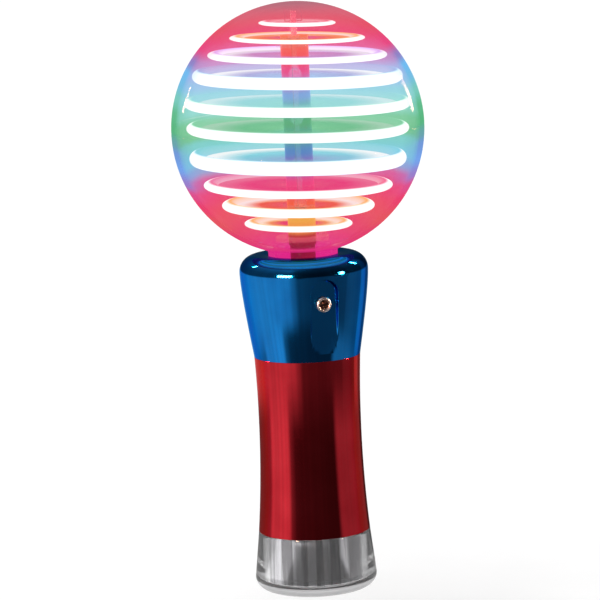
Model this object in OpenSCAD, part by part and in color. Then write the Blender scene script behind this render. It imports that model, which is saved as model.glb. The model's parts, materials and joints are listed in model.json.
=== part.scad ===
// Toy magic wand. A motor in the collar spins ten small lamps inside a clear globe, and they draw
// rings of light. Millimetres, +Z up: the wand stands on its tail cap, and its axis is the Z axis.
// The collar's screw faces -Y and the push button faces +Y.

/* [Globe] */
// Outside diameter of the clear globe
globe_d = 85; // [80:0.5:95]
// Wall of the globe
globe_wall = 1.6; // [1.2:0.1:2.2]
// Outside diameter of the globe's neck
neck_d = 23.4; // [22.6:0.2:25]
// Height of neck that shows between the globe and the collar
neck_show = 1.6; // [0.8:0.1:4]
// Height of the lap joint between the globe's two halves
lap_h = 3; // [2:0.5:5]

/* [Collar] */
// Height of the collar
collar_h = 34.5; // [29:0.5:42]
// Greatest diameter of the collar
collar_d = 43.6; // [38:0.2:50]
// Radius of the collar's round shoulder
shoulder_r = 5.5; // [4.5:0.1:6]
// Wall of the collar
collar_wall = 1.8; // [1.4:0.1:2.2]
// Distance of the screw below the collar's top
screw_drop = 15; // [14:0.5:17]
// Width of the tongue-shaped pocket round the screw
pocket_w = 9.9; // [8:0.1:11]
// Depth of the pocket at the collar's widest level
pocket_depth = 3.2; // [2.6:0.1:3.6]

/* [Button] */
// Diameter of the push button
button_d = 10; // [8:0.5:11]
// Travel of the button
button_travel = 1; // [0.6:0.1:1.2]
// How far the button stands out of the collar
button_out = 1.6; // [1.4:0.1:3]
// Distance of the button below the collar's top
button_drop = 21.5; // [20.5:0.5:24]

/* [Handle sleeve] */
// Length of the sleeve
sleeve_len = 60.5; // [48:0.5:75]
// Wall of the sleeve at its waist
sleeve_wall = 1.6; // [1.3:0.1:2.4]
// Height of the waist above the sleeve's lower edge
waist_h = 37; // [32:1:46]
// How much wider than the waist the sleeve's lower edge is, on the radius
sleeve_flare = 1.65; // [1.2:0.05:2.4]

/* [Tail cap] */
// Height of the clear tail cap
cap_h = 20; // [18.5:0.5:26]
// How much wider than its rim the cap's foot is, on the radius
cap_flare = 1.7; // [0.5:0.1:3]
// Thickness of the cap's floor
cap_floor = 3.5; // [2.5:0.1:5]
// Rounding of the cap's lower corner
cap_round = 2.6; // [1:0.1:3.5]

/* [Cells] */
// Diameter of one cell
cell_d = 14.2; // [13.8:0.1:14.5]
// Gap between neighbouring cells
cell_gap = 0.4; // [0.3:0.1:0.9]
// Height of the space for the leads above the cells' frame
lead_room = 6.3; // [6:0.1:9]

/* [Motor] */
// Diameter of the motor can
motor_d = 20; // [19:0.2:20.6]
// Width of the motor can across its flats
motor_flat = 15.4; // [14.4:0.1:16]
// Length of the motor with its end bell
motor_len = 25; // [22:0.5:27]
// Diameter of the motor shaft
shaft_d = 2; // [1.5:0.1:2.3]

/* [Lamps] */
// Diameter of one lamp
led_d = 3; // [2.4:0.1:4]
// Length of one lamp
led_len = 4.4; // [4:0.1:6]
// Gap between the lamps' tips and the globe
led_gap = 3.3; // [2:0.1:5]
// Diameter of the column that carries the lamp arms
column_d = 9.4; // [9:0.1:10]
// Direction in which the first lamp arm is parked
park_angle = 251; // [0:1:359]

/* [Hidden] */
$fn = 96;

// Clearances: a glued joint, a running fit, a sliding fit, a seam, a light touch, a loose passage and
// a cut's overrun
glue_gap = 0.05;
run_gap = 0.05;
slide_gap = 0.18;
seam_gap = 0.1;
touch_gap = 0.2;
loose_gap = 0.6;
cut = 1;

// Cells stand on a triangle, and the sleeve's bore goes round them
cell_r = cell_d / 2;
cell_side_gap = 0.25;
nub_h = 1.2;
nub_r = 2.7;
cell_pitch_r = (cell_d + cell_gap) / sqrt(3);
bore_r = cell_pitch_r + cell_r + cell_side_gap;
left_angle = 210;
right_angle = 330;
back_angle = 90;
rail_r = 2;
rail_skin = 1;
rail_pitch_r = bore_r - rail_r - rail_skin;

// Levels of the outer shells
sleeve_z = cap_h;
collar_z = sleeve_z + sleeve_len;
collar_top = collar_z + collar_h;
globe_r = globe_d / 2;
globe_in_r = globe_r - globe_wall;
neck_r = neck_d / 2;
neck_wall = 1.8;
neck_bore_r = neck_r - neck_wall;
neck_joint_h = sqrt(pow(globe_r, 2) - pow(neck_r, 2));
globe_z = collar_top + neck_show + neck_joint_h;
flange_h = 2.4;
flange_lip = 2.2;
flange_r = neck_r + flange_lip;
flange_z = collar_top - collar_wall - flange_h;

// Sleeve outline: a parabola through the waist
waist_r = bore_r + sleeve_wall;
function sleeve_r(h) = waist_r + sleeve_flare * pow((h - waist_h) / waist_h, 2);
groove_w = 1.2;
groove_h = 3.3;
groove_r = (bore_r + sleeve_r(0)) / 2;

// Collar outline: a curve that rises from the sleeve's edge and ends upright under the round shoulder
collar_r = collar_d / 2;
collar_foot_r = sleeve_r(sleeve_len);
shoulder_h = collar_h - shoulder_r;
side_pull = 0.78;
pull_h = side_pull * shoulder_h;
bend_h = shoulder_h - 2 * pull_h;
function collar_at(t) = [
    collar_foot_r * pow(1 - t, 2) + collar_r * (1 - pow(1 - t, 2)),
    2 * t * (1 - t) * pull_h + t * t * shoulder_h
];
function collar_radius(h) = collar_at((sqrt(pull_h * pull_h + bend_h * h) - pull_h) / bend_h)[0];

// Cradle that holds the motor, the slip-ring chamber and the switch bay, from the globe's flange down
cradle_r = bore_r - slide_gap;
cradle_top = flange_z;
chamber_r = 11;
chamber_h = 7.8;
chamber_z = cradle_top - chamber_h;
plate_h = 2;
motor_top = chamber_z - plate_h;
motor_z = motor_top - motor_len;
motor_gap = 0.15;
motor_r = motor_d / 2;
motor_side_y = motor_flat / 2 + motor_gap;
retainer_h = 4;
skirt_h = 2;
cradle_z = motor_z - retainer_h - skirt_h;
lead_r = 0.6;
lead_hole_r = 1.2;
lead_inset = 0.3;
lead_x = (motor_r + cradle_r) / 2 - lead_inset;
lead_slot_h = 2.6;

// Tail cap, its liner and the contacts on its floor
cap_rim_r = sleeve_r(0);
cap_foot_r = cap_rim_r + cap_flare;
liner_wall = 0.8;
liner_r = bore_r + liner_wall;
liner_floor = 1.2;
contact_h = 0.4;
contact_r = 5;
contact_bar_w = 3;
bottom_contact_z = cap_floor + liner_floor;
bottom_contact_top = bottom_contact_z + contact_h;

// The cells fill the room between the cap's contacts and the frame that carries the cradle
spring_h = 5.4;
frame_plate_h = 2.4;
frame_r = bore_r - slide_gap;
rail_end_gap = 0.5;
rail_z = sleeve_z + rail_end_gap;
frame_top = cradle_z - lead_room;
frame_plate_z = frame_top - frame_plate_h;
top_contact_z = frame_plate_z - contact_h;
upright_cell_z = bottom_contact_top + spring_h + touch_gap;
inverted_cell_z = bottom_contact_top + touch_gap;
cell_len = top_contact_z - nub_h - upright_cell_z;

// Strip on the sleeve's bore, and the finger on the cap that meets it
strip_angle = 45;
strip_w = 3;
strip_h = 0.4;
strip_back_gap = 0.3;
strip_r = bore_r - strip_back_gap - strip_h;
strip_tip_h = 1.6;
strip_top = frame_top + strip_tip_h;
finger_tip_h = 0.3;
finger_bend = 3;
finger_lap = 1.5;

// Contact springs: a wire wound on a cone
spring_wire_d = 0.8;
spring_turns = 3.5;
spring_foot_r = 4.4;
spring_tip_r = 2.4;

// Screw and its pocket
screw_h = collar_h - screw_drop;
screw_z = collar_z + screw_h;
screw_head_r = 2.5;
screw_head_h = 1.7;
screw_dome_r = 2.8;
screw_shank_r = 1.3;
screw_slot_w = 0.8;
screw_slot_len = 3;
screw_slot_depth = 1;
screw_slot_turn = 20;
screw_end_gap = 0.3;
screw_wall = 2.15;
pocket_y = collar_r - pocket_depth;
pocket_r = pocket_w / 2;
pocket_rise = 3.6;
pocket_z = screw_z + pocket_rise;
pocket_floor = 3.6;
front_flat_y = pocket_y - pocket_floor;
screw_len = pocket_y - motor_side_y - screw_wall;

// Button, plunger and switch, one behind the other along Y
button_h = collar_h - button_drop;
button_z = collar_z + button_h;
button_r = button_d / 2;
button_lip = 1.2;
button_flange_r = button_r + button_lip;
button_flange_t = 1.3;
button_dome_r = 16;
guide_wall = 1;
bay_wall = 1.55;
bay_y = motor_side_y + bay_wall;
board_t = 1.2;
switch_y = bay_y + board_t;
switch_t = 3;
switch_w = 6;
plunger_r = 1.5;
plunger_sink = 0.7;
plunger_y = switch_y + switch_t - plunger_sink;
button_y = switch_y + switch_t + button_travel;
guide_y = button_y + button_flange_t + touch_gap;
button_end_y = collar_radius(button_h) + button_out;
bay_side = 1.5;
bay_w = 2 * (button_flange_r + bay_side);
bay_below = 12;
bay_roof = 1.1;
bay_z = button_z - bay_below;
bay_top = button_z + button_flange_r + bay_roof;
board_side_gap = 2;
board_end_gap = 0.4;
board_w = bay_w - 2 * board_side_gap;
board_h = bay_top - bay_z - 2 * board_end_gap;
notch_w = 6;
notch_y = 11;

// Motor inside
shaft_r = shaft_d / 2;
shaft_end_gap = 0.8;
bell_h = 2.5;
bell_floor = 0.6;
can_wall = 0.8;
nose_r = 3;
nose_gap = 0.4;
nose_h = plate_h - nose_gap;
magnet_t = 1.9;
magnet_over = 0.5;
magnet_share = 0.6;
magnet_r = motor_r - can_wall - glue_gap;
armature_gap = 0.4;
armature_r = min(magnet_r - magnet_t, motor_flat / 2 - can_wall) - armature_gap;
armature_low = 4.5;
armature_high = 3.5;
armature_z = motor_z + bell_h + armature_low;
armature_h = motor_len - bell_h - armature_low - armature_high;
pole_gap = 1.6;
core_wall = 2;
commutator_wall = 1.4;
commutator_z = motor_z + bell_h + shaft_end_gap;
retainer_hole_r = 2;
terminal_x = 5;
terminal_w = 3.6;
terminal_t = 0.5;
terminal_up = 0.6;
terminal_gap = 0.2;
terminal_z = cradle_z + terminal_up;

// Rotor: hub, slip rings and brushes
ring_h = 2;
ring_r = 5;
ring_wall = 0.75;
ring_lip_h = 0.5;
ring_lip_inset = 0.3;
stem_r = ring_r - ring_wall;
lower_ring_up = 2.8;
upper_ring_up = 5.9;
lower_ring_z = chamber_z + lower_ring_up;
upper_ring_z = chamber_z + upper_ring_up;
hub_up = 1;
hub_z = chamber_z + hub_up;
hub_side_gap = 0.9;
hub_flange_r = neck_bore_r - hub_side_gap;
hub_flange_h = 1.6;
hub_flange_z = globe_z - sqrt(pow(globe_in_r, 2) - pow(hub_flange_r, 2)) + loose_gap;
column_z = hub_flange_z + hub_flange_h;
shaft_cover = 2;
shaft_top = hub_flange_z - shaft_cover;
board_ring_h = 1.2;
chip_gap = 0.7;
chip_h = 1;
spigot_h = 7;
brush_t = 0.4;
brush_w = 2.4;
brush_stand = 1.6;
brush_x = ring_r + brush_stand;
brush_foot = 2.4;
brush_over = 0.6;
brush_fall = 0.8;

// Lamps and the frame that carries them, in the globe's own centre
led_latitudes = [70, 53, 38, 25.5, 11, 0, -15.5, -31, -46, -60.5];
led_colours = ["red", "amber", "violet", "blue", "green", "green", "blue", "red", "amber", "amber"];
led_r = led_d / 2;
led_lip = 0.4;
led_flange_r = led_r + led_lip;
led_flange_h = 0.8;
led_seat_r = globe_in_r - led_gap - led_len;
pad_h = 1.2;
pad_sink = 0.8;
pad_lip = 0.2;
arm_w = 3.2;
arm_t = 1.6;
arm_out_r = led_seat_r - pad_h;
arm_in_r = arm_out_r - arm_w;
arm_mid_r = arm_out_r - arm_w / 2;
arm_top_angle = 73;
arm_low_angle = -63;
spoke_in = 0.8;
spoke_out = 0.3;
column_r = column_d / 2;
column_wall = 1.5;
column_over = 0.6;
column_bore_r = column_r - column_wall;
arm_ring_wall = 1.5;
arm_ring_r = column_r + arm_ring_wall;
column_top = globe_z + arm_mid_r * sin(arm_top_angle) + arm_w / 2 + column_over;
trace_t = 0.15;
trace_w = 0.6;
trace_offsets = [0.4, 1.3];
boss_r = 3;
boss_h = 5;
boss_z = globe_z + globe_in_r - boss_h;
pin_r = 1;
pin_in_boss = 3.4;
pin_top = boss_z + pin_in_boss;
pin_seat_h = 3;

// Leads: routes chosen by hand, on three levels of the space between the cell frame and the cradle
low_level = frame_top + 1.2;
high_level = cradle_z - 1.6;
mid_level = (low_level + high_level) / 2;
terminal_end = terminal_z - touch_gap;
left_cell = cell_pitch_r * [cos(left_angle), sin(left_angle)];
strip_end = (strip_r - lead_r - touch_gap) * [cos(strip_angle), sin(strip_angle)];
board_lead_y = switch_y + lead_r + touch_gap;
notch_lead_y = notch_y + 1.8;
supply_route = [
    [left_cell[0], left_cell[1], frame_plate_z + touch_gap],
    [left_cell[0], left_cell[1], frame_plate_z + 1.6],
    [left_cell[0], left_cell[1] + 1, frame_top + 1.3],
    [-6.4, 1, low_level + 0.4],
    [-2.6, 8.6, low_level + 0.6],
    [-1.5, notch_lead_y, cradle_z - 0.6],
    [-1.5, notch_lead_y, cradle_z + 4],
    [-1.5, notch_lead_y, bay_z - 1],
    [-1.5, board_lead_y, bay_z + 3.5]
];
switched_route = [
    [1.5, board_lead_y, bay_z + 3.5],
    [1.5, notch_lead_y, bay_z - 1],
    [1.5, notch_lead_y, cradle_z + 4],
    [1.5, notch_lead_y, cradle_z - 0.6],
    [0.8, 8.6, mid_level],
    [-3, 3.4, mid_level],
    [-terminal_x, 0.9, terminal_end - 1.4],
    [-terminal_x, 0.9, terminal_end]
];
return_route = [
    [strip_end[0], strip_end[1], strip_top - 0.8],
    [7.6, 6.5, mid_level],
    [5.8, 3, mid_level],
    [terminal_x, 0.9, terminal_end - 1.4],
    [terminal_x, 0.9, terminal_end]
];
brush_route = [
    [terminal_x, -0.9, terminal_end],
    [terminal_x + 0.1, -0.9, terminal_end - 1],
    [terminal_x + 1.8, -0.7, high_level],
    [lead_x - 1.4, 0, high_level],
    [lead_x, 0, cradle_z],
    [lead_x, 0, cradle_z + 4],
    [lead_x, 0, chamber_z - 8],
    [lead_x, 0, chamber_z - 0.6],
    [lead_x - 1, 0, chamber_z + 1.2],
    [brush_x + brush_foot - 0.6, 0, chamber_z + brush_t + lead_r + glue_gap]
];

// Points of an arc about a centre, from one angle to another
function arc(centre, r, from, to, steps) = [
    for (i = [0:steps])
        let (a = from + (to - from) * i / steps)
        centre + r * [cos(a), sin(a)]
];

// A smooth curve through a route's points, with a few steps between each pair
function curve_point(a, b, c, d, t) =
    b + (c - a) * t / 2 + (2 * a - 5 * b + 4 * c - d) * t * t / 2
    + (3 * b - a - 3 * c + d) * t * t * t / 2;
function smooth(route, steps = 4) = let (last = len(route) - 1) [
    for (i = [0:last - 1], s = [0:i == last - 1 ? steps : steps - 1])
        curve_point(route[max(i - 1, 0)], route[i], route[i + 1], route[min(i + 2, last)], s / steps)
];

// Points of a wire wound on a cone
function coil(foot_r, tip_r, height, turns) = let (steps = turns * 8) [
    for (i = [0:steps])
        let (r = foot_r + (tip_r - foot_r) * i / steps, a = 360 * turns * i / steps)
        [r * cos(a), r * sin(a), height * i / steps]
];

// Least gap between a coil's turns, measured between points more than half a turn apart
function least_gap(points, wire_d) = let (last = len(points) - 1)
    min([for (i = [0:last], j = [i + 5:1:last]) norm(points[i] - points[j])]) - wire_d;

function unit(v) = v / norm(v);
function square_to(v, axis) = unit(v - (v * axis) * axis);
function tangents(p) = let (last = len(p) - 1) [
    for (i = [0:last]) unit(p[min(i + 1, last)] - p[max(i - 1, 0)])
];
function first_normal(axis) = square_to(abs(axis[2]) < 0.9 ? [0, 0, 1] : [1, 0, 0], axis);
function normals(t) = [
    for (i = 0, n = first_normal(t[0]); i < len(t);
         i = i + 1, n = i < len(t) ? square_to(n, t[i]) : n) n
];

// Tube of one radius along a line of points
module sweep(points, r, sides) {
    along = tangents(points);
    across = normals(along);
    rings = len(points);
    corners = [
        for (i = [0:rings - 1], k = [0:sides - 1])
            let (a = 360 * k / sides)
            points[i] + r * (cos(a) * across[i] + sin(a) * cross(along[i], across[i]))
    ];
    walls = [
        for (i = [0:rings - 2], k = [0:sides - 1])
            let (next = (k + 1) % sides)
            [i * sides + k, (i + 1) * sides + k, (i + 1) * sides + next, i * sides + next]
    ];
    first_end = [for (k = [0:sides - 1]) k];
    last_end = [for (k = [sides - 1:-1:0]) (rings - 1) * sides + k];
    polyhedron(corners, concat(walls, [first_end, last_end]));
}

module tube(outer, inner, h) {
    difference() {
        cylinder(h = h, r = outer);
        translate([0, 0, -cut]) cylinder(h = h + 2 * cut, r = inner);
    }
}

// Round bar with two flats that face +Y and -Y
module flatted(r, flat, h) {
    intersection() {
        cylinder(h = h, r = r);
        translate([-r, -flat / 2, 0]) cube([2 * r, flat, h]);
    }
}

module toward_front() { rotate([90, 0, 0]) children(); }
module toward_back() { rotate([-90, 0, 0]) children(); }
module at_angle(angle, r) { rotate([0, 0, angle]) translate([r, 0, 0]) children(); }

// Half-plane ring of a sphere's wall between two heights, for turning about Z
module wall_profile(outer, inner, low, high) {
    intersection() {
        difference() {
            circle(outer);
            circle(inner);
        }
        translate([0, low]) square([outer + cut, high - low]);
    }
}

// The globe's upper half laps over the outside of the joint and carries the top bearing
module globe_upper() {
    joint_r = globe_r - globe_wall / 2 + glue_gap / 2;
    color("white", 0.3) translate([0, 0, globe_z]) difference() {
        union() {
            rotate_extrude() {
                wall_profile(globe_r, joint_r, 0, lap_h);
                wall_profile(globe_r, globe_in_r, lap_h, globe_r + cut);
            }
            translate([0, 0, globe_in_r - boss_h]) cylinder(h = boss_h + globe_wall / 2, r = boss_r);
        }
        translate([0, 0, globe_in_r - boss_h - cut])
            cylinder(h = pin_in_boss + loose_gap + cut, r = pin_r + run_gap);
    }
}

// The lower half has the joint's inner tongue, and a neck with a flange that the collar holds down
module globe_lower() {
    joint_r = globe_r - globe_wall / 2 - glue_gap / 2;
    neck_top = -neck_joint_h + globe_wall / 4;
    flange_low = flange_z - globe_z;
    color("white", 0.3) translate([0, 0, globe_z]) rotate_extrude() difference() {
        union() {
            wall_profile(globe_r, globe_in_r, -globe_r - cut, 0);
            wall_profile(joint_r, globe_in_r, -cut, lap_h - glue_gap);
            translate([0, flange_low]) square([neck_r, neck_top - flange_low]);
            translate([0, flange_low]) square([flange_r, flange_h]);
        }
        translate([0, flange_low - cut]) square([neck_bore_r, globe_r]);
    }
}

// Outside of the collar as a solid, from its lower edge; an inset draws the room inside
module collar_solid(inset) {
    shoulder_centre = [collar_r - shoulder_r, shoulder_h];
    side = [for (i = [0:12]) collar_at(i / 12) - [inset, 0]];
    shoulder = arc(shoulder_centre, shoulder_r - inset, 0, 90, 10);
    foot = inset > 0 ? [[0, -cut], [collar_foot_r - inset, -cut]] : [[0, 0]];
    rotate_extrude() polygon(concat(foot, side, shoulder, [[0, collar_h - inset]]));
}

// Upright tongue with a round top, as deep as asked for, that starts on the plane y = 0
module tongue(r, depth) {
    toward_front() linear_extrude(depth) {
        circle(r);
        translate([-r, -collar_h]) square([2 * r, collar_h]);
    }
}

module collar() {
    color([0.02, 0.4, 0.75]) translate([0, 0, collar_z]) difference() {
        union() {
            difference() {
                collar_solid(0);
                collar_solid(collar_wall);
            }
            intersection() {
                collar_solid(0);
                union() {
                    translate([0, -front_flat_y, pocket_z - collar_z])
                        tongue(pocket_r + collar_wall, collar_r);
                    translate([0, guide_y, button_h])
                        toward_back() cylinder(h = collar_r, r = button_flange_r + guide_wall);
                }
            }
        }
        translate([0, 0, collar_h / 2]) cylinder(h = collar_h, r = neck_r + slide_gap);
        translate([0, -pocket_y, pocket_z - collar_z]) tongue(pocket_r, collar_r);
        translate([0, 0, screw_h]) toward_front() cylinder(h = collar_r, r = screw_shank_r + touch_gap);
        translate([0, 0, button_h]) toward_back() {
            cylinder(h = 2 * collar_r, r = button_r + slide_gap);
            cylinder(h = guide_y, r = button_flange_r + slide_gap);
        }
    }
}

// Pan-head screw with a cross recess
module collar_screw() {
    color("silver") translate([0, -pocket_y, screw_z]) toward_front() difference() {
        union() {
            intersection() {
                cylinder(h = screw_head_h, r = screw_head_r);
                translate([0, 0, screw_head_h - screw_dome_r]) sphere(screw_dome_r);
            }
            translate([0, 0, -screw_len]) cylinder(h = screw_len + screw_head_h / 2, r = screw_shank_r);
        }
        for (turn = [0, 90]) rotate([0, 0, turn + screw_slot_turn])
            translate([-screw_slot_len / 2, -screw_slot_w / 2, screw_head_h - screw_slot_depth])
                cube([screw_slot_len, screw_slot_w, screw_slot_depth + cut]);
    }
}

// Waisted sleeve with a groove in its lower edge for the tail cap's rim
module handle_sleeve() {
    outline = [for (i = [0:16]) [sleeve_r(sleeve_len * i / 16), sleeve_len * i / 16]];
    color([0.75, 0.1, 0.15]) translate([0, 0, sleeve_z]) rotate_extrude() difference() {
        polygon(concat([[bore_r, 0]], outline, [[bore_r, sleeve_len]]));
        translate([groove_r - groove_w / 2, -cut]) square([groove_w, groove_h + cut]);
    }
}

// Clear cap: a thick wall and floor, a round lower corner and a thin rim that enters the sleeve
module tail_cap() {
    rim_z = cap_h - seam_gap;
    rim_w = groove_w - 2 * slide_gap;
    corner = arc([cap_foot_r - cap_round, cap_round], cap_round, -90, 0, 8);
    color("white", 0.4) rotate_extrude() difference() {
        union() {
            polygon(concat([[0, 0]], corner, [[cap_rim_r, rim_z], [0, rim_z]]));
            translate([groove_r - rim_w / 2, rim_z - cut]) square([rim_w, groove_h - touch_gap + cut]);
        }
        translate([0, cap_floor]) square([liner_r + seam_gap, cap_h]);
    }
}

module cap_liner() {
    rim = cap_h - seam_gap - touch_gap;
    color("silver") translate([0, 0, cap_floor]) difference() {
        cylinder(h = rim - cap_floor, r = liner_r);
        translate([0, 0, liner_floor]) cylinder(h = cap_h, r = bore_r);
    }
}

// Button with a domed face and a flange behind the collar's guide
module button() {
    length = button_end_y - button_y;
    color([0.02, 0.4, 0.75]) translate([0, button_y, button_z]) toward_back() {
        cylinder(h = button_flange_t, r = button_flange_r);
        intersection() {
            cylinder(h = length, r = button_r);
            translate([0, 0, length - button_dome_r]) sphere(button_dome_r);
        }
    }
}

module switch_plunger() {
    color("ivory") translate([0, plunger_y, button_z])
        toward_back() cylinder(h = button_y - plunger_y, r = plunger_r);
}

module switch_body() {
    color("dimgray") difference() {
        translate([-switch_w / 2, switch_y, button_z - switch_w / 2])
            cube([switch_w, switch_t, switch_w]);
        translate([0, plunger_y - button_travel - touch_gap, button_z])
            toward_back() cylinder(h = switch_t, r = plunger_r + run_gap);
    }
}

module switch_board() {
    color("darkgreen") translate([-board_w / 2, bay_y, bay_z + board_end_gap])
        cube([board_w, board_t, board_h]);
}

// Cradle: a skirt in the sleeve, a pocket for the motor from below and a chamber for the slip rings
module motor_cradle() {
    slot_w = 2 * (lead_hole_r + touch_gap);
    slot_len = lead_x + lead_hole_r + touch_gap - chamber_r;
    color("gainsboro") difference() {
        translate([0, 0, cradle_z]) cylinder(h = cradle_top - cradle_z, r = cradle_r);
        translate([0, 0, cradle_z - cut])
            flatted(motor_r + motor_gap, motor_flat + 2 * motor_gap, motor_top - cradle_z + cut);
        translate([0, 0, motor_top - cut]) cylinder(h = plate_h + 2 * cut, r = nose_r + motor_gap);
        translate([0, 0, chamber_z]) cylinder(h = chamber_h + cut, r = chamber_r);
        translate([-bay_w / 2, bay_y, bay_z]) cube([bay_w, cradle_r, bay_top - bay_z]);
        translate([-notch_w / 2, notch_y, cradle_z - cut])
            cube([notch_w, cradle_r, bay_z - cradle_z + 2 * cut]);
        translate([-cradle_r, -2 * cradle_r, collar_z])
            cube([2 * cradle_r, 2 * cradle_r - front_flat_y, collar_h]);
        translate([0, -pocket_y, screw_z])
            toward_back() cylinder(h = screw_len + screw_end_gap, r = screw_shank_r + glue_gap);
        for (side = [0, 180]) rotate([0, 0, side]) {
            translate([lead_x, 0, cradle_z - cut])
                cylinder(h = chamber_z - cradle_z + 2 * cut, r = lead_hole_r);
            translate([chamber_r - cut, -slot_w / 2, chamber_z])
                cube([slot_len + cut, slot_w, lead_slot_h]);
        }
    }
}

// Plug under the motor, with slots for its terminals
module motor_retainer() {
    slot = [terminal_t + 2 * terminal_gap, terminal_w + 2 * terminal_gap];
    color("dimgray") translate([0, 0, motor_z - retainer_h]) difference() {
        flatted(motor_r, motor_flat, retainer_h);
        translate([0, 0, -cut]) cylinder(h = retainer_h + 2 * cut, r = retainer_hole_r);
        for (x = [-terminal_x, terminal_x]) translate([x - slot[0] / 2, -slot[1] / 2, -cut])
            cube([slot[0], slot[1], retainer_h + 2 * cut]);
    }
}

// Can of the motor: open below, with a bearing nose above
module motor_can() {
    can_z = motor_z + bell_h;
    can_h = motor_top - can_z;
    color("lightsteelblue") translate([0, 0, can_z]) difference() {
        union() {
            flatted(motor_r, motor_flat, can_h);
            translate([0, 0, can_h - cut]) cylinder(h = nose_h + cut, r = nose_r);
        }
        translate([0, 0, -cut])
            flatted(motor_r - can_wall, motor_flat - 2 * can_wall, can_h - can_wall + cut);
        cylinder(h = can_h + nose_h + cut, r = shaft_r + run_gap);
    }
}

module motor_end_bell() {
    color("ivory") translate([0, 0, motor_z]) difference() {
        flatted(motor_r, motor_flat, bell_h);
        translate([0, 0, bell_floor]) cylinder(h = bell_h, r = shaft_r + run_gap);
    }
}

module motor_magnets() {
    magnet_h = armature_h + 2 * magnet_over;
    magnet_w = magnet_share * motor_d;
    color("dimgray") translate([0, 0, armature_z - magnet_over]) intersection() {
        tube(magnet_r, magnet_r - magnet_t, magnet_h);
        union() for (side = [-1, 1]) translate([side * magnet_r, 0, magnet_h / 2])
            cube([magnet_r, magnet_w, magnet_h + cut], center = true);
    }
}

module motor_terminals() {
    color("goldenrod") for (x = [-terminal_x, terminal_x])
        translate([x - terminal_t / 2, -terminal_w / 2, terminal_z])
            cube([terminal_t, terminal_w, motor_z - terminal_z]);
}

// Three-pole armature and its commutator
module motor_armature() {
    color("peru") difference() {
        union() {
            translate([0, 0, armature_z]) cylinder(h = armature_h, r = armature_r);
            translate([0, 0, commutator_z])
                cylinder(h = armature_z - commutator_z + cut, r = shaft_r + commutator_wall);
        }
        for (turn = [0, 120, 240]) rotate([0, 0, turn])
            translate([shaft_r + core_wall, -pole_gap / 2, armature_z - cut])
                cube([armature_r, pole_gap, armature_h + 2 * cut]);
        translate([0, 0, motor_z]) cylinder(h = motor_len, r = shaft_r + glue_gap);
    }
}

module motor_shaft() {
    low = motor_z + shaft_end_gap;
    color("silver") translate([0, 0, low]) cylinder(h = shaft_top - low, r = shaft_r);
}

// Hub on the shaft: a stem for the slip rings, a flange for the board and a spigot for the column
module rotor_hub() {
    color("whitesmoke") difference() {
        union() {
            translate([0, 0, hub_z]) cylinder(h = column_z - hub_z, r = stem_r);
            translate([0, 0, hub_flange_z]) cylinder(h = hub_flange_h, r = hub_flange_r);
            translate([0, 0, column_z - cut]) cylinder(h = spigot_h + cut, r = column_bore_r - glue_gap);
            for (z = [lower_ring_z, upper_ring_z])
                translate([0, 0, z - ring_h / 2 - ring_lip_h])
                    cylinder(h = ring_lip_h, r = ring_r - ring_lip_inset);
        }
        translate([0, 0, hub_z - cut])
            cylinder(h = shaft_top - hub_z + cut + touch_gap, r = shaft_r + glue_gap);
    }
}

module slip_ring(z) {
    color("gold") translate([0, 0, z - ring_h / 2]) tube(ring_r, stem_r + glue_gap, ring_h);
}

module lower_slip_ring() { slip_ring(lower_ring_z); }
module upper_slip_ring() { slip_ring(upper_ring_z); }

// Leaf brush: a foot on the chamber floor, an upright leaf and a finger that ends on its slip ring
module brush(z, side) {
    rise = z + brush_over - chamber_z;
    reach = brush_x - ring_r - run_gap;
    color("goldenrod") rotate([0, 0, side]) translate([0, -brush_w / 2, chamber_z]) {
        translate([brush_x, 0, 0]) cube([brush_foot, brush_w, brush_t]);
        translate([brush_x, 0, 0]) cube([brush_t, brush_w, rise]);
        translate([brush_x - reach, 0, rise - brush_fall]) cube([reach + brush_t, brush_w, brush_t]);
    }
}

module lower_brush() { brush(lower_ring_z, 0); }
module upper_brush() { brush(upper_ring_z, 180); }

module rotor_board() {
    color("darkgreen") translate([0, 0, column_z]) tube(hub_flange_r, column_r + seam_gap, board_ring_h);
}

module control_chip() {
    width = hub_flange_r - column_r - 2 * chip_gap;
    color("dimgray") translate([0, 0, column_z + board_ring_h]) rotate([0, 0, park_angle + 90])
        translate([column_r + chip_gap, -width / 2, 0]) cube([width, width, chip_h]);
}

// Frosted column with a closed top that holds the pivot pin
module rotor_column() {
    color("mistyrose") difference() {
        translate([0, 0, column_z]) cylinder(h = column_top - column_z, r = column_r);
        translate([0, 0, column_z - cut])
            cylinder(h = column_top - pin_seat_h - column_z + cut, r = column_bore_r);
        translate([0, 0, column_z]) cylinder(h = column_top, r = pin_r + glue_gap);
    }
}

// Places a lamp's axis along Z, with the globe's centre as origin
module at_lamp(i) {
    translate([0, 0, globe_z]) rotate([0, 0, park_angle + 180 * (i % 2)])
        rotate([0, 90 - led_latitudes[i], 0]) children();
}

// Bar bent round the globe's centre in an upright plane
module bent_bar(inner, outer, low_face, high_face) {
    rotate([90, 0, 0]) rotate([0, 0, arm_low_angle])
        rotate_extrude(angle = arm_top_angle - arm_low_angle)
            translate([inner, low_face]) square([outer - inner, high_face - low_face]);
}

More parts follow.
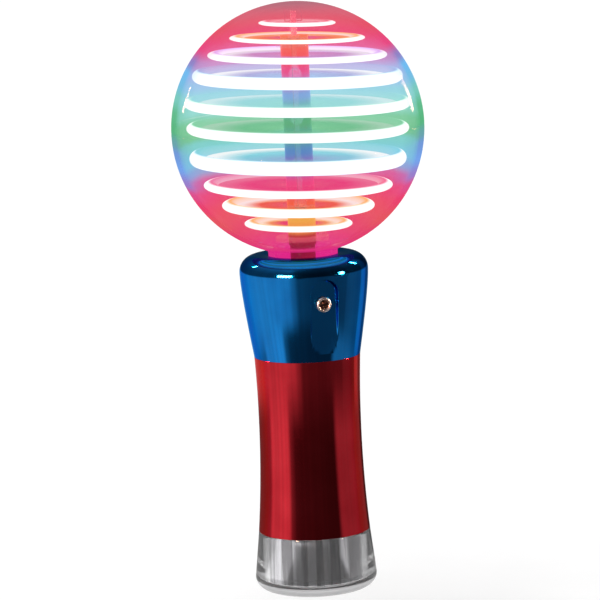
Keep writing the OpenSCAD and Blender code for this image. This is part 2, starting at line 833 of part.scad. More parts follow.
// Two bent arms, the rings and spokes that tie them to the column, and a round pad under each lamp
module led_frame() {
    color("white", 0.4) {
        for (side = [0, 180]) translate([0, 0, globe_z]) rotate([0, 0, park_angle + side])
            bent_bar(arm_in_r, arm_out_r, -arm_t / 2, arm_t / 2);
        for (end = [arm_top_angle, arm_low_angle])
            translate([0, 0, globe_z + arm_mid_r * sin(end) - arm_w / 2]) {
                tube(arm_ring_r, column_r + glue_gap, arm_w);
                for (side = [0, 180]) at_angle(park_angle + side, arm_ring_r - spoke_in)
                    translate([0, -arm_t / 2, 0])
                        cube([arm_mid_r * cos(end) - arm_ring_r + spoke_in + spoke_out, arm_t, arm_w]);
            }
        for (i = [0:len(led_latitudes) - 1]) at_lamp(i) translate([0, 0, arm_out_r - pad_sink])
            cylinder(h = pad_h + pad_sink, r = led_flange_r + pad_lip);
    }
}

// Two conductor strips on the flat of each arm
module led_wiring() {
    color("peru") for (side = [0, 180], inset = trace_offsets)
        translate([0, 0, globe_z]) rotate([0, 0, park_angle + side])
            bent_bar(arm_in_r + inset, arm_in_r + inset + trace_w, arm_t / 2, arm_t / 2 + trace_t);
}

// Lamp with a flange, a round body and a domed tip
module lamp() {
    cylinder(h = led_flange_h, r = led_flange_r);
    cylinder(h = led_len - led_r, r = led_r);
    translate([0, 0, led_len - led_r]) sphere(led_r);
}

module lamps(colour) {
    for (i = [0:len(led_latitudes) - 1]) if (led_colours[i] == colour)
        at_lamp(i) translate([0, 0, led_seat_r]) lamp();
}

module leds_red() { color("tomato") lamps("red"); }
module leds_amber() { color("orange") lamps("amber"); }
module leds_violet() { color("orchid") lamps("violet"); }
module leds_blue() { color("deepskyblue") lamps("blue"); }
module leds_green() { color("lightgreen") lamps("green"); }

module top_pivot_pin() {
    low = column_top - pin_seat_h;
    color("silver") translate([0, 0, low]) cylinder(h = pin_top - low, r = pin_r);
}

// Plate above the cells, three rails between them and three posts that carry the cradle
module cell_frame() {
    color("gainsboro") difference() {
        union() {
            translate([0, 0, frame_plate_z]) cylinder(h = frame_plate_h, r = frame_r);
            for (angle = [left_angle, right_angle, back_angle]) at_angle(angle + 180, rail_pitch_r)
                translate([0, 0, rail_z]) cylinder(h = cradle_z - rail_z, r = rail_r);
        }
        at_angle(left_angle, cell_pitch_r) translate([0, 0, frame_plate_z - cut])
            cylinder(h = frame_plate_h + 2 * cut, r = lead_hole_r);
        at_angle(strip_angle, strip_r - touch_gap)
            translate([0, -strip_w / 2 - touch_gap, frame_plate_z - cut])
                cube([bore_r, strip_w + 2 * touch_gap, frame_plate_h + 2 * cut]);
    }
}

// One cell: the nub points up, or down when the cell is turned over
module cell(angle, z, inverted) {
    body_z = inverted ? z + nub_h : z;
    nub_z = inverted ? z : z + cell_len;
    color("darkgoldenrod") at_angle(angle, cell_pitch_r) {
        translate([0, 0, body_z]) cylinder(h = cell_len, r = cell_r);
        translate([0, 0, nub_z]) cylinder(h = nub_h, r = nub_r);
    }
}

module cell_front_left() { cell(left_angle, upright_cell_z, false); }
module cell_front_right() { cell(right_angle, inverted_cell_z, true); }
module cell_back() { cell(back_angle, upright_cell_z, false); }

// Round contact at one cell, and a bar that links two of them
module contact_disc(angle) {
    at_angle(angle, cell_pitch_r) cylinder(h = contact_h, r = contact_r);
}

module contact_link(from, to) {
    span = cell_pitch_r * sqrt(3);
    contact_disc(from);
    contact_disc(to);
    at_angle((from + to) / 2, cell_pitch_r / 2)
        translate([-contact_bar_w / 2, -span / 2, 0]) cube([contact_bar_w, span, contact_h]);
}

module top_contacts() {
    color("gold") translate([0, 0, top_contact_z]) {
        contact_disc(left_angle);
        contact_link(right_angle - 360, back_angle);
    }
}

module bottom_contacts() {
    finger_h = sleeve_z + finger_tip_h - bottom_contact_z;
    finger_foot = strip_r - finger_bend;
    finger_len = strip_r + strip_h - finger_foot + finger_lap;
    turn = strip_angle - back_angle;
    reach = finger_foot * [cos(turn), sin(turn)] - [cell_pitch_r, 0];
    color("gold") translate([0, 0, bottom_contact_z]) {
        contact_link(left_angle, right_angle);
        contact_disc(back_angle);
        at_angle(back_angle, cell_pitch_r) rotate([0, 0, atan2(reach[1], reach[0])])
            translate([0, -strip_w / 2, 0]) cube([norm(reach), strip_w, contact_h]);
        at_angle(strip_angle, finger_foot - finger_lap)
            translate([0, -strip_w / 2, 0]) cube([finger_len, strip_w, contact_h]);
        at_angle(strip_angle, strip_r)
            translate([0, -strip_w / 2, 0]) cube([strip_h, strip_w, finger_h]);
    }
}

// Strip on the sleeve's bore that brings the last cell's lower end up to the motor
module return_strip() {
    color("gold") at_angle(strip_angle, strip_r)
        translate([0, -strip_w / 2, rail_z]) cube([strip_h, strip_w, strip_top - rail_z]);
}

module contact_spring() {
    points = coil(spring_foot_r, spring_tip_r, spring_h - spring_wire_d, spring_turns);
    echo(least_spring_gap = least_gap(points, spring_wire_d));
    translate([0, 0, spring_wire_d / 2]) sweep(points, spring_wire_d / 2, 6);
}

module bottom_springs() {
    color("silver") for (angle = [left_angle, back_angle]) at_angle(angle, cell_pitch_r)
        translate([0, 0, bottom_contact_top]) contact_spring();
}

module top_spring() {
    color("silver") at_angle(right_angle, cell_pitch_r)
        translate([0, 0, top_contact_z]) rotate([180, 0, 0]) contact_spring();
}

module lead(route) { sweep(smooth(route), lead_r, 8); }

// Leads from the cells to the switch, from the switch to the motor and from the motor to the cells
module battery_leads() {
    color("firebrick") {
        lead(supply_route);
        lead(switched_route);
        lead(return_route);
    }
}

module brush_leads() {
    color("firebrick") {
        lead(brush_route);
        mirror([1, 0, 0]) lead(brush_route);
    }
}

globe_upper();
globe_lower();
collar();
collar_screw();
handle_sleeve();
tail_cap();
cap_liner();
button();
switch_plunger();
switch_body();
switch_board();
motor_cradle();
motor_retainer();
motor_can();
motor_end_bell();
motor_magnets();
motor_terminals();
motor_armature();
motor_shaft();
rotor_hub();
lower_slip_ring();
upper_slip_ring();
lower_brush();
upper_brush();
rotor_board();
control_chip();
rotor_column();
led_frame();
led_wiring();
leds_red();
leds_amber();
leds_violet();
leds_blue();
leds_green();
top_pivot_pin();
cell_frame();
cell_front_left();
cell_front_right();
cell_back();
top_contacts();
top_spring();
bottom_contacts();
bottom_springs();
return_strip();
battery_leads();
brush_leads();
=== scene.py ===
# %% [markdown]
# A toy magic wand. A motor in the blue collar spins ten small lamps inside a clear globe, and to the
# eye each lamp draws a ring of light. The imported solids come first: they are the frame that every
# surface made here is laid over, in metres, with the wand standing on its tail cap along +Z.

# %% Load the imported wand
import json
import math

import bmesh
import bpy
import numpy as np
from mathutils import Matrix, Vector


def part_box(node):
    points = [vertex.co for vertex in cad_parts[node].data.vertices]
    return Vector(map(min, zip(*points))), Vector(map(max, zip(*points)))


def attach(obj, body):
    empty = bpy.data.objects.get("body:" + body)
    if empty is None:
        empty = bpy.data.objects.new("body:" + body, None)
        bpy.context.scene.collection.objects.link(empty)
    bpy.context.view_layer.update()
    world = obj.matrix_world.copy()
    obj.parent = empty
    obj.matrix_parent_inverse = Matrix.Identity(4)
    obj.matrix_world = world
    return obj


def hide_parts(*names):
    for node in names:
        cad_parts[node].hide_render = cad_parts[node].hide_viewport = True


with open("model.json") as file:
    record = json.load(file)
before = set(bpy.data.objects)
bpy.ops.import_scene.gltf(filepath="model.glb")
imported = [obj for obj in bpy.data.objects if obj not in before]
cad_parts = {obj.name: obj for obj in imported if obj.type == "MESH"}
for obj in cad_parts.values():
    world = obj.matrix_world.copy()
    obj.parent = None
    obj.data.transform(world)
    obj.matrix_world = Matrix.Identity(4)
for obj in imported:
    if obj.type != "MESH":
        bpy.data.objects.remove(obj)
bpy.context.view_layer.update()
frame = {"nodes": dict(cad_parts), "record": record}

nodes = frame["nodes"]

# %% [markdown]
# The camera stands a little over a metre away, above the collar's height and round to the wand's left,
# and it is rolled slightly, so the wand leans as it does in the photograph. It could be turned with
# three angles, but here its axes are worked out as vectors, because then a sideways nudge of the aim
# can be written in pixels of the picture.

# %% Camera
view_turn = math.radians(-18.7)
camera_far, camera_high, aim_high = 1.0526, 0.2608, 0.09474
picture_px, focal_px, sensor_mm = 600, 3145.6, 36
nudge_left, nudge_up = 4.975, 12.61
roll = 0.042
near_clip, far_clip = 0.05, 60


def unit(v):
    """A vector, or each row of vectors, divided by its own length."""
    return v / np.linalg.norm(v, axis=-1, keepdims=True)


def picture_axes(forward):
    """The picture's right and up directions, for a level camera that looks forward."""
    side = unit(np.cross(forward, [0, 0, 1]))
    return side, np.cross(side, forward)


def show(name, data):
    """A new object with that data, linked into the scene."""
    made = bpy.data.objects.new(name, data)
    scene.collection.objects.link(made)
    return made


camera_spot = np.array([camera_far * math.sin(view_turn), -camera_far * math.cos(view_turn), camera_high])
ahead = unit(np.array([0, 0, aim_high]) - camera_spot)
right, upward = picture_axes(ahead)
ahead = unit(ahead - right * nudge_left / focal_px + upward * nudge_up / focal_px)
right, upward = picture_axes(ahead)
right, upward = (right * math.cos(roll) - upward * math.sin(roll),
                 upward * math.cos(roll) + right * math.sin(roll))

scene = bpy.context.scene
camera_data = bpy.data.cameras.new("camera")
camera_data.sensor_width = sensor_mm
camera_data.lens = focal_px * sensor_mm / picture_px
camera_data.clip_start, camera_data.clip_end = near_clip, far_clip
camera = show("camera", camera_data)
placing = np.eye(4)
placing[:3] = np.column_stack([right, upward, -ahead, camera_spot])
camera.matrix_world = placing.T.tolist()
bpy.context.scene.camera = camera
print("lens in mm:", round(camera_data.lens, 1))

# %% [markdown]
# Most of the wand is turned: the shells, the cap and the globe are each one outline carried round the
# axis. Blender's Spin tool could do it, but a grid worked out with numpy keeps every point exactly on
# its formula, so the mirror-like shells reflect without ripples. These helpers make the outlines, turn
# them, and put any grid of points into a mesh.

# %% Helpers for surfaces
MM = 0.001
weld = 1e-7


def arc(centre, radius, first, last, steps):
    """Points on a circle about centre, at equal steps of angle from first to last, in degrees."""
    a = np.radians(np.linspace(first, last, steps + 1))
    return np.stack([centre[0] + radius * np.cos(a), centre[1] + radius * np.sin(a)], axis=1)


def line(start, end, steps):
    """Points at equal steps on the straight line from start to end."""
    t = np.linspace(0, 1, steps + 1)[:, None]
    return (1 - t) * np.array(start, float) + t * np.array(end, float)


def turned(outline, sides, first=0):
    """Turns (radius, height) pairs about Z: column j lies at first + 360 j / sides degrees."""
    a = math.radians(first) + np.linspace(0, 2 * np.pi, sides, endpoint=False)
    r, z = outline[:, :1], outline[:, 1:]
    return np.stack([r * np.cos(a), r * np.sin(a), z + 0 * a], axis=-1)


def grid_faces(rows, columns, close_rows, close_columns):
    """Corners of each face of a grid; closing joins the last row or column to the first."""
    index = np.arange(rows * columns).reshape(rows, columns)
    index = np.pad(index, ((0, close_rows), (0, close_columns)), "wrap")
    corners = [index[:-1, :-1], index[:-1, 1:], index[1:, 1:], index[1:, :-1]]
    return np.stack(corners, axis=-1)


def joined(grids):
    """Points and faces of several grids with closed columns, numbered through."""
    starts = np.cumsum([0] + [grid.shape[0] * grid.shape[1] for grid in grids])
    faces = [grid_faces(*grid.shape[:2], False, True).reshape(-1, 4) + start
             for grid, start in zip(grids, starts)]
    return np.concatenate([grid.reshape(-1, 3) for grid in grids]), np.concatenate(faces)


def bare_mesh(name, points, faces):
    """A smooth mesh from points in metres and the corners of its faces."""
    mesh = bpy.data.meshes.new(name)
    mesh.from_pydata(points.tolist(), [], faces.tolist())
    mesh.shade_smooth()
    return mesh


def lay_mesh(name, points, faces, sharp):
    """A piece from points in millimetres and the corners of its faces, which are welded and face outward."""
    mesh = bare_mesh(name, points * MM, faces)
    welding = bmesh.new()
    welding.from_mesh(mesh)
    bmesh.ops.remove_doubles(welding, verts=welding.verts, dist=weld)
    bmesh.ops.recalc_face_normals(welding, faces=welding.faces)
    open_edges = sum(edge.is_boundary for edge in welding.edges)
    welding.to_mesh(mesh)
    welding.free()
    mesh.set_sharp_from_angle(angle=math.radians(sharp))
    print(name, "faces:", len(mesh.polygons), "open edges:", open_edges)
    return show(name, mesh)


def grid_piece(name, grid, ring=False, sharp=40):
    """A piece from a grid with closed columns; ring joins its last row to its first as well."""
    faces = grid_faces(*grid.shape[:2], ring, True)
    return lay_mesh(name, grid.reshape(-1, 3), faces.reshape(-1, 4), sharp)


# %% [markdown]
# A material here is one Principled shader with a few texture nodes in front of it. All patterns read
# Object coordinates, which are metres on the wand, so a scale of 2000 gives specks half a millimetre
# across. These helpers keep each material down to the lines that say what it looks like.

# %% Helpers for materials


def new_finish(name, sockets):
    """A material with one Principled shader, whose plain values are set on its own sockets."""
    material = bpy.data.materials.new(name)
    material.use_nodes = True
    tree = material.node_tree
    shader = tree.nodes["Principled BSDF"]
    for socket, value in sockets.items():
        shader.inputs[socket].default_value = value
    return material, tree, shader


def add(tree, kind, inputs=None, **settings):
    """A node of that kind; each input takes a plain value or the output socket that feeds it."""
    made = tree.nodes.new("ShaderNode" + kind)
    for key, value in settings.items():
        setattr(made, key, value)
    for key, value in (inputs or {}).items():
        if isinstance(value, bpy.types.NodeSocket):
            tree.links.new(value, made.inputs[key])
        else:
            made.inputs[key].default_value = value
    return made


def feed(shader, sources):
    """Feeds sockets of a shader from the outputs of other nodes."""
    for socket, source in sources.items():
        shader.id_data.links.new(source, shader.inputs[socket])


def place(tree):
    """Object coordinates: metres in the wand's own frame."""
    return add(tree, "TexCoord").outputs["Object"]


def speckle(tree, scale, detail=3.0, stretch=(1, 1, 1)):
    """Noise from 0 to 1 on Object coordinates, stretched along the axes if asked."""
    spot = add(tree, "Mapping", {"Vector": place(tree), "Scale": stretch}).outputs["Vector"]
    return add(tree, "TexNoise", {"Vector": spot, "Scale": scale, "Detail": detail}).outputs["Fac"]


def spread(tree, factor, low, high):
    """Maps a factor of 0 to 1 onto low to high."""
    return add(tree, "MapRange", {"Value": factor, "To Min": low, "To Max": high}).outputs["Result"]


def range_share(tree, value, low, high, **settings):
    """Where a value lies on the way from low, which gives 0, to high, which gives 1."""
    inputs = {"Value": value, "From Min": low, "From Max": high}
    return add(tree, "MapRange", inputs, **settings).outputs["Result"]


def calc(tree, operation, *values, **settings):
    """One step of arithmetic on values."""
    inputs = dict(enumerate(values))
    return add(tree, "Math", inputs, operation=operation, **settings).outputs["Value"]


def times(tree, a, b):
    """The product of two values."""
    return calc(tree, "MULTIPLY", a, b)


def ramp(tree, factor, stops, interpolation="LINEAR"):
    """A colour ramp through (position, colour) stops."""
    made = add(tree, "ValToRGB", {"Fac": factor})
    band = made.color_ramp
    band.interpolation = interpolation
    while len(band.elements) < len(stops):
        band.elements.new(0.5)
    for element, (position, colour) in zip(band.elements, stops):
        element.position = position
        element.color = (*colour, 1)
    return made.outputs["Color"]


def greys(tree, factor, stops):
    """A ramp through (position, brightness) stops."""
    return ramp(tree, factor, [(position, (grey,) * 3) for position, grey in stops])


def mottle(tree, scale, deep, pale):
    """Two tones mixed by a noise."""
    return ramp(tree, speckle(tree, scale), [(0.3, deep), (0.7, pale)])


def dull(shader, scale, low, high):
    """Sets the roughness between low and high by a noise."""
    tree = shader.id_data
    feed(shader, {"Roughness": spread(tree, speckle(tree, scale), low, high)})


def emboss(shader, height, distance, strength):
    """Bumps the shader's surface by a height from 0 to 1 times distance, in millimetres."""
    inputs = {"Height": height, "Distance": distance * MM, "Strength": strength}
    feed(shader, {"Normal": add(shader.id_data, "Bump", inputs).outputs["Normal"]})


def height_share(tree, low, high, waver=0.0):
    """Height from 0 at low to 1 at high, in millimetres, with a slow waver of that many millimetres."""
    z = add(tree, "SeparateXYZ", {"Vector": place(tree)}).outputs["Z"]
    if waver:
        drift = spread(tree, speckle(tree, 45, 2.0), -waver * MM, waver * MM)
        z = calc(tree, "ADD", z, drift)
    return range_share(tree, z, low * MM, high * MM)


def edge_on(tree):
    """How far a surface turns away from the eye, for gloss and clear plastic: 0 squarely, 1 edge on."""
    return add(tree, "LayerWeight", {"Blend": 0.5}).outputs["Facing"]


def from_within(tree):
    """1 where a closed shape's wall is met from its inside, and 0 elsewhere."""
    return add(tree, "NewGeometry").outputs["Backfacing"]


def give(piece, *materials):
    """Replaces the piece's materials with these, in slot order."""
    piece.data.materials.clear()
    for material in materials:
        piece.data.materials.append(material)


def fit(piece, body, slot, *materials, node=None):
    """Dresses a piece, hides the imported node it stands for and hangs it under the body that carries it;
    slot is not used.
    """
    give(piece, *materials)
    if node:
        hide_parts(node)
    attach(piece, body)


# %% [markdown]
# The collar and the sleeve are plastic with a thin film of metal and a clear tinted lacquer over it. So
# the shader is metal in the lacquer's colour with a clear coat on top. The film isn't perfect: the tint
# pools a little, fine dust lies under the lacquer, and the surface has a faint orange-peel wave. The
# coat's white shine fades toward the edges, where the tinted film itself shines enough.

# %% Lacquered metal finishes


def lacquered(name, deep, bright, rim, edge_coat):
    """Tinted metal: a slow noise mixes two depths of tint, and finer noises set gloss and ripple."""
    material, tree, shader = new_finish(name, {
        "Metallic": 1.0, "Coat Weight": 0.2, "Coat Roughness": 0.03, "Specular Tint": (*rim, 1),
    })
    feed(shader, {"Base Color": ramp(tree, speckle(tree, 60), [(0.35, deep), (0.65, bright)]),
                  "Coat Weight": greys(tree, edge_on(tree), [(0.3, 0.25), (0.55, edge_coat)])})
    dull(shader, 900, 0.05, 0.13)
    emboss(shader, speckle(tree, 260, 2.0), 0.02, 0.25)
    return material


blue_lacquer = lacquered("blue_lacquer", (0.0, 0.150, 0.47), (0.001, 0.190, 0.55), (0.06, 0.42, 0.80), 0.03)
red_lacquer = lacquered("red_lacquer", (0.47, 0.008, 0.018), (0.56, 0.016, 0.028), (0.75, 0.10, 0.12), 0.2)
print("lacquers:", blue_lacquer.name, red_lacquer.name)

# %% [markdown]
# The red sleeve is a tube with a waist. Its outside is a parabola, widest at the lower edge, and a groove
# in that edge takes the tail cap's rim. The outline runs down the bore, round the groove and up the
# outside, and its outer corners are broken by about a tenth of a millimetre, so that each edge catches a
# thin line of light.

# %% Handle sleeve
bore_r = 15.779
sleeve_z, sleeve_len = 20.0, 60.5
waist_r, waist_h, sleeve_flare = bore_r + 1.6, 37.0, 1.65
groove_half, groove_high = 0.6, 3.3
low_edge, top_edge = 0.12, 0.1


def sleeve_r(h):
    """Outside radius at a height: the waist plus the flare times the squared distance from the waist."""
    return waist_r + sleeve_flare * ((h - waist_h) / waist_h) ** 2


groove_mid = (bore_r + sleeve_r(0)) / 2
groove_in, groove_out = groove_mid - groove_half, groove_mid + groove_half
side_h = np.linspace(low_edge, sleeve_len - top_edge, 90)
sleeve_outline = np.concatenate([
    [[bore_r, sleeve_len], [bore_r, 0], [groove_in, 0], [groove_in, groove_high]],
    [[groove_out, groove_high], [groove_out, 0]],
    arc((sleeve_r(0) - low_edge, low_edge), low_edge, -90, 0, 5)[:-1],
    np.stack([sleeve_r(side_h), side_h], axis=1),
    [[sleeve_r(sleeve_len) - top_edge, sleeve_len]],
]) + [0, sleeve_z]
sleeve = grid_piece("red_sleeve", turned(sleeve_outline, 256), ring=True)
fit(sleeve, "handle", "red_shell", red_lacquer, node="handle_sleeve")

# %% [markdown]
# The collar swells from the sleeve's edge to a round shoulder and is hollow. Its side could be drawn as a
# Bezier curve and turned. Here the same curve is written out as a formula, because the pocket and the
# button's hole also have to know how far out the wall lies at any height.

# %% Collar outline
collar_z, collar_h, collar_r, collar_wall = 80.5, 34.5, 21.8, 1.8
shoulder_r, opening_r, mouth_edge = 5.5, 11.88, 0.4
foot_r = sleeve_r(sleeve_len)
shoulder_h = collar_h - shoulder_r
shoulder_mid = collar_r - shoulder_r
pull_h = 0.78 * shoulder_h


def side_point(t):
    """A curve with one pull point: it leaves the foot on a slant and ends upright under the shoulder."""
    r = foot_r * (1 - t) ** 2 + collar_r * (1 - (1 - t) ** 2)
    return np.stack([r, 2 * t * (1 - t) * pull_h + t * t * shoulder_h], axis=-1)


def collar_radius(h, inset):
    """Radius of the wall at a height, moved in by inset: the side's curve, then the shoulder's circle."""
    bend = shoulder_h - 2 * pull_h
    low = np.clip(h, 0, shoulder_h)
    t = (np.sqrt(pull_h * pull_h + bend * low) - pull_h) / bend
    rise = np.clip(h - shoulder_h, 0, None)
    round_part = np.sqrt(np.clip((shoulder_r - inset) ** 2 - rise ** 2, 0, None))
    return np.where(h <= shoulder_h, side_point(t)[..., 0] - inset, shoulder_mid + round_part)


def wall_outline(inset):
    """The wall from its foot to the top of its shoulder, moved in by inset."""
    shoulder = arc((shoulder_mid, shoulder_h), shoulder_r - inset, 0, 90, 24)
    return np.concatenate([side_point(np.linspace(0, 1, 61)) - [inset, 0], shoulder[1:]])


outer_wall, inner_wall = wall_outline(0), wall_outline(collar_wall)
mouth = np.concatenate([
    arc((opening_r + mouth_edge, collar_h - mouth_edge), mouth_edge, 90, 180, 5),
    [[opening_r, collar_h - collar_wall]],
])
collar_outline = np.concatenate([outer_wall, mouth, inner_wall[::-1]])
wall_rows = len(outer_wall)
first_inner = wall_rows + len(mouth)
print("collar outline points:", len(collar_outline))

# %% [markdown]
# Two things break the collar's turned shape: a tongue-shaped pocket with the screw at the front, and the
# button's hole at the back. Cutting them with a Boolean modifier would leave long thin faces that show in
# a mirror finish. Instead a window of the turned grid is left out, and loops of points lead from the
# window's border to the opening. All loops of one window have the same number of points, so they form a
# grid of their own.

# %% Loops for the collar's openings
collar_sides, half_window = 192, 14
tongue_mid = 23.1


def window_border(points, low, high, middle):
    """Border of a grid window as a loop: up its right side, back along its top, down, and along its foot."""
    across = np.arange(middle - half_window, middle + half_window + 1) % collar_sides
    up = np.arange(low, high + 1) if high > low else np.arange(low, high - 1, -1)
    return np.concatenate([
        points[up[:-1], across[-1]], points[up[-1], across[:0:-1]],
        points[up[:0:-1], across[0]], points[up[0], across[:-1]],
    ])


def tongue(r, low, per_side, per_end):
    """Loop round an upright tongue of half-width r: up, over its round top, down, and along its foot."""
    return np.concatenate([
        line((r, low), (r, tongue_mid), per_side)[:-1], arc((0, tongue_mid), r, 0, 180, per_end)[:-1],
        line((-r, tongue_mid), (-r, low), per_side)[:-1], line((-r, low), (r, low), per_end)[:-1],
    ])


def circle_facing(loop, centre_h, r):
    """A circle with a point for each point of a loop, in the direction in which its centre sees it."""
    a = np.arctan2(loop[:, 1] - centre_h, loop[:, 0])
    return np.stack([r * np.cos(a), centre_h + r * np.sin(a)], axis=1)


def blend(first, last, steps):
    """Loops at equal steps from one loop to another, both included."""
    return first + np.linspace(0, 1, steps + 1)[:, None, None] * (last - first)


def on_wall(loops, inset):
    """How far out from the axis's plane the wall lies: the root of its radius squared less x squared."""
    return np.sqrt(np.clip(collar_radius(loops[..., 1], inset) ** 2 - loops[..., 0] ** 2, 0, None))


def ease(x):
    """Smooth step from 0 to 1: three times x squared less twice x cubed."""
    x = np.clip(x, 0, 1)
    return x * x * (3 - 2 * x)


def stand(loops, out):
    """Points in space from loops in the upright plane and their distance out, toward the front."""
    return np.stack([loops[..., 0], -out, loops[..., 1]], axis=-1)


print("columns in a window:", 2 * half_window)

# %% [markdown]
# The pocket is a shallow flat sunk into the swelling wall, with a soft slope all round and a thick boss
# behind it for the screw. The button's hole has a small rounded lip outside and a flat guide inside, on
# which the button's flange stops.

# %% Pocket and button hole
screw_h, shank_r = 19.5, 1.5
tongue_r, tongue_low, boss_low, pocket_slope = 4.95, 2.6, 2.0, 0.6
pocket_y, boss_y = 18.6, 15.0
button_h, button_hole_r, hole_lip, guide_y, guide_r = 13.0, 5.18, 0.3, 16.1, 7.2


def sunk(loops, share):
    """Distance out of the wall, pressed down by a share of the way to the pocket's floor."""
    return on_wall(loops, 0) - share * np.clip(on_wall(loops, 0) - pocket_y, 0, None)


def pocket_rings(border_out, border_in):
    """Rings of the pocket: the border, the lip, the wall, the floor, the hole, the boss and the inside."""
    per_end = 2 * half_window
    per_side = len(border_out) // 2 - per_end
    rim = tongue(tongue_r, tongue_low, per_side, per_end)
    outside = blend(border_out[:, [0, 2]], rim, 8)[1:]
    sink = ease(np.linspace(0, 1, 11)[1:])
    wall = np.stack([tongue(tongue_r - pocket_slope * s, tongue_low, per_side, per_end) for s in sink])
    hole = circle_facing(wall[-1], screw_h, shank_r)
    floor = blend(wall[-1], hole, 8)[1:]
    boss = tongue(tongue_r + collar_wall, boss_low, per_side, per_end)
    back_face = blend(hole, boss, 4)
    inside = blend(boss, border_in[:, [0, 2]], 4)[:-1]
    return np.concatenate([
        border_out[None], stand(outside, on_wall(outside, 0)),
        stand(wall, sunk(wall, ease(sink)[:, None])), stand(floor, sunk(floor, 1.0)),
        stand(back_face, np.minimum(boss_y, on_wall(back_face, collar_wall))),
        stand(inside, on_wall(inside, collar_wall)), border_in[None],
    ])


def button_rings(border_out, border_in):
    """Rings of the button's hole, as seen from the back: border, rounded lip, guide and inside."""
    flat_out, flat_in = border_out[:, [0, 2]] * [-1, 1], border_in[:, [0, 2]] * [-1, 1]
    rim = circle_facing(flat_out, button_h, button_hole_r + hole_lip)
    outside = blend(flat_out, rim, 8)[1:]
    turn = np.radians(np.linspace(0, 90, 6))[1:]
    lip = np.stack([circle_facing(flat_out, button_h, button_hole_r + hole_lip * (1 - np.sin(a)))
                    for a in turn])
    drop = hole_lip * (1 - np.cos(turn))[:, None]
    guide = circle_facing(flat_in, button_h, guide_r)
    face = blend(circle_facing(flat_in, button_h, button_hole_r), guide, 3)
    inside = blend(guide, flat_in, 4)[:-1]
    rings = np.concatenate([
        stand(outside, on_wall(outside, 0)), stand(lip, on_wall(lip, 0) - drop),
        stand(face, np.minimum(guide_y, on_wall(face, collar_wall))),
        stand(inside, on_wall(inside, collar_wall)),
    ]) * [-1, -1, 1]
    return np.concatenate([border_out[None], rings, border_in[None]])


print("out from the axis in mm: pocket floor", pocket_y, "and button guide", guide_y)

# %% [markdown]
# Now the collar is put together: the turned grid without its two windows, and the grids that fill them.
# Both kinds share the points along the borders, so one weld closes the shell.

# %% Blue collar
pocket_window, button_window = (1.2, 31.3), (3.4, 23.0)
collar_points = turned(collar_outline, collar_sides, -90)
collar_faces = grid_faces(len(collar_outline), collar_sides, True, True)
kept = np.ones(collar_faces.shape[:2], bool)


def open_window(heights, middle):
    """Leaves a window out of both walls, and gives its border on the outside and on the inside."""
    low, high = (int(np.argmin(abs(outer_wall[:, 1] - h))) for h in heights)
    last_inner = first_inner + wall_rows - 1
    across = np.arange(middle - half_window, middle + half_window) % collar_sides
    kept[low:high, across] = False
    kept[last_inner - high:last_inner - low, across] = False
    return (window_border(collar_points, low, high, middle),
            window_border(collar_points, last_inner - low, last_inner - high, middle))


pocket = pocket_rings(*open_window(pocket_window, 0))
button_hole = button_rings(*open_window(button_window, collar_sides // 2))
patch_points, patch_faces = joined([pocket, button_hole])
collar_points = collar_points.reshape(-1, 3)
collar = lay_mesh(
    "blue_collar", np.concatenate([collar_points, patch_points]) + [0, 0, collar_z],
    np.concatenate([collar_faces[kept], patch_faces + len(collar_points)]), sharp=50,
)
fit(collar, "handle", "blue_shell", blue_lacquer, node="collar")

# %% [markdown]
# The push button at the back is a short plunger with a domed face and a flange that keeps it in. It is
# turned about its own axis, so its outline is made as (radius, distance out) and the turned points are
# then laid along +Y. It wears the collar's blue lacquer.

# %% Push button
button_r, button_flange_r, button_y, flange_t = 5.0, 6.2, 14.62, 1.28
button_out, button_edge, dome_r, dome_drop = 1.6, 0.5, 16.0, 0.35
dome_mid = float(collar_radius(np.array(button_h), 0)) + button_out - dome_r
dome_edge = math.degrees(math.asin((button_r - button_edge) / dome_r))
dome = arc((0, dome_mid), dome_r, 90 - dome_edge, 90, 16)
edge_y = dome[0, 1] - dome_drop
button_outline = np.concatenate([
    [[0, button_y], [button_flange_r, button_y], [button_flange_r, button_y + flange_t]],
    [[button_r, button_y + flange_t], [button_r, edge_y]],
    arc((button_r - button_edge, edge_y), button_edge, 0, 60, 5)[1:],
    dome,
])
button_points = turned(button_outline, 96)[..., [0, 2, 1]] + [0, 0, collar_z + button_h]
button = grid_piece("push_button", button_points, sharp=35)
fit(button, "button", "blue_shell", blue_lacquer, node="button")

# %% [markdown]
# The tail cap is thick clear plastic with a flat foot, a round lower corner and a thin rim that enters
# the sleeve. Clear plastic is made with transmission, so that light bends through the thick walls, and a
# faint wave on the surface keeps it from looking like perfect glass. The foot is made hazier and paler,
# which paints the light that its round corner gathers.

# %% Clear tail cap
foot_edge_r, rim_r, cap_top, cap_round, cap_floor = 20.73, sleeve_r(0), 19.9, 4.2, 3.5
cavity_r, cavity_edge, rim_edge = 16.68, 0.5, 0.2
foot_flat_r, foot_top = foot_edge_r - cap_round - 1, cap_floor - 0.1
spigot_half, spigot_top, spigot_edge = 0.42, 23.0, 0.1
spigot_in, spigot_out = groove_mid - spigot_half, groove_mid + spigot_half
cap_outline = np.concatenate([
    [[0, 0], [foot_flat_r, 0]],
    arc((foot_edge_r - cap_round, cap_round), cap_round, -90, 0, 16),
    line((foot_edge_r, cap_round), (rim_r, cap_top - rim_edge), 24)[1:],
    [[rim_r - rim_edge, cap_top], [spigot_out, cap_top]],
    [[spigot_out, spigot_top - spigot_edge], [spigot_out - spigot_edge, spigot_top]],
    [[spigot_in + spigot_edge, spigot_top], [spigot_in, spigot_top - spigot_edge]],
    [[spigot_in, cap_top], [cavity_r, cap_top], [cavity_r, cap_floor + cavity_edge]],
    arc((cavity_r - cavity_edge, cap_floor + cavity_edge), cavity_edge, 0, -90, 6)[1:],
    [[0, cap_floor]],
])
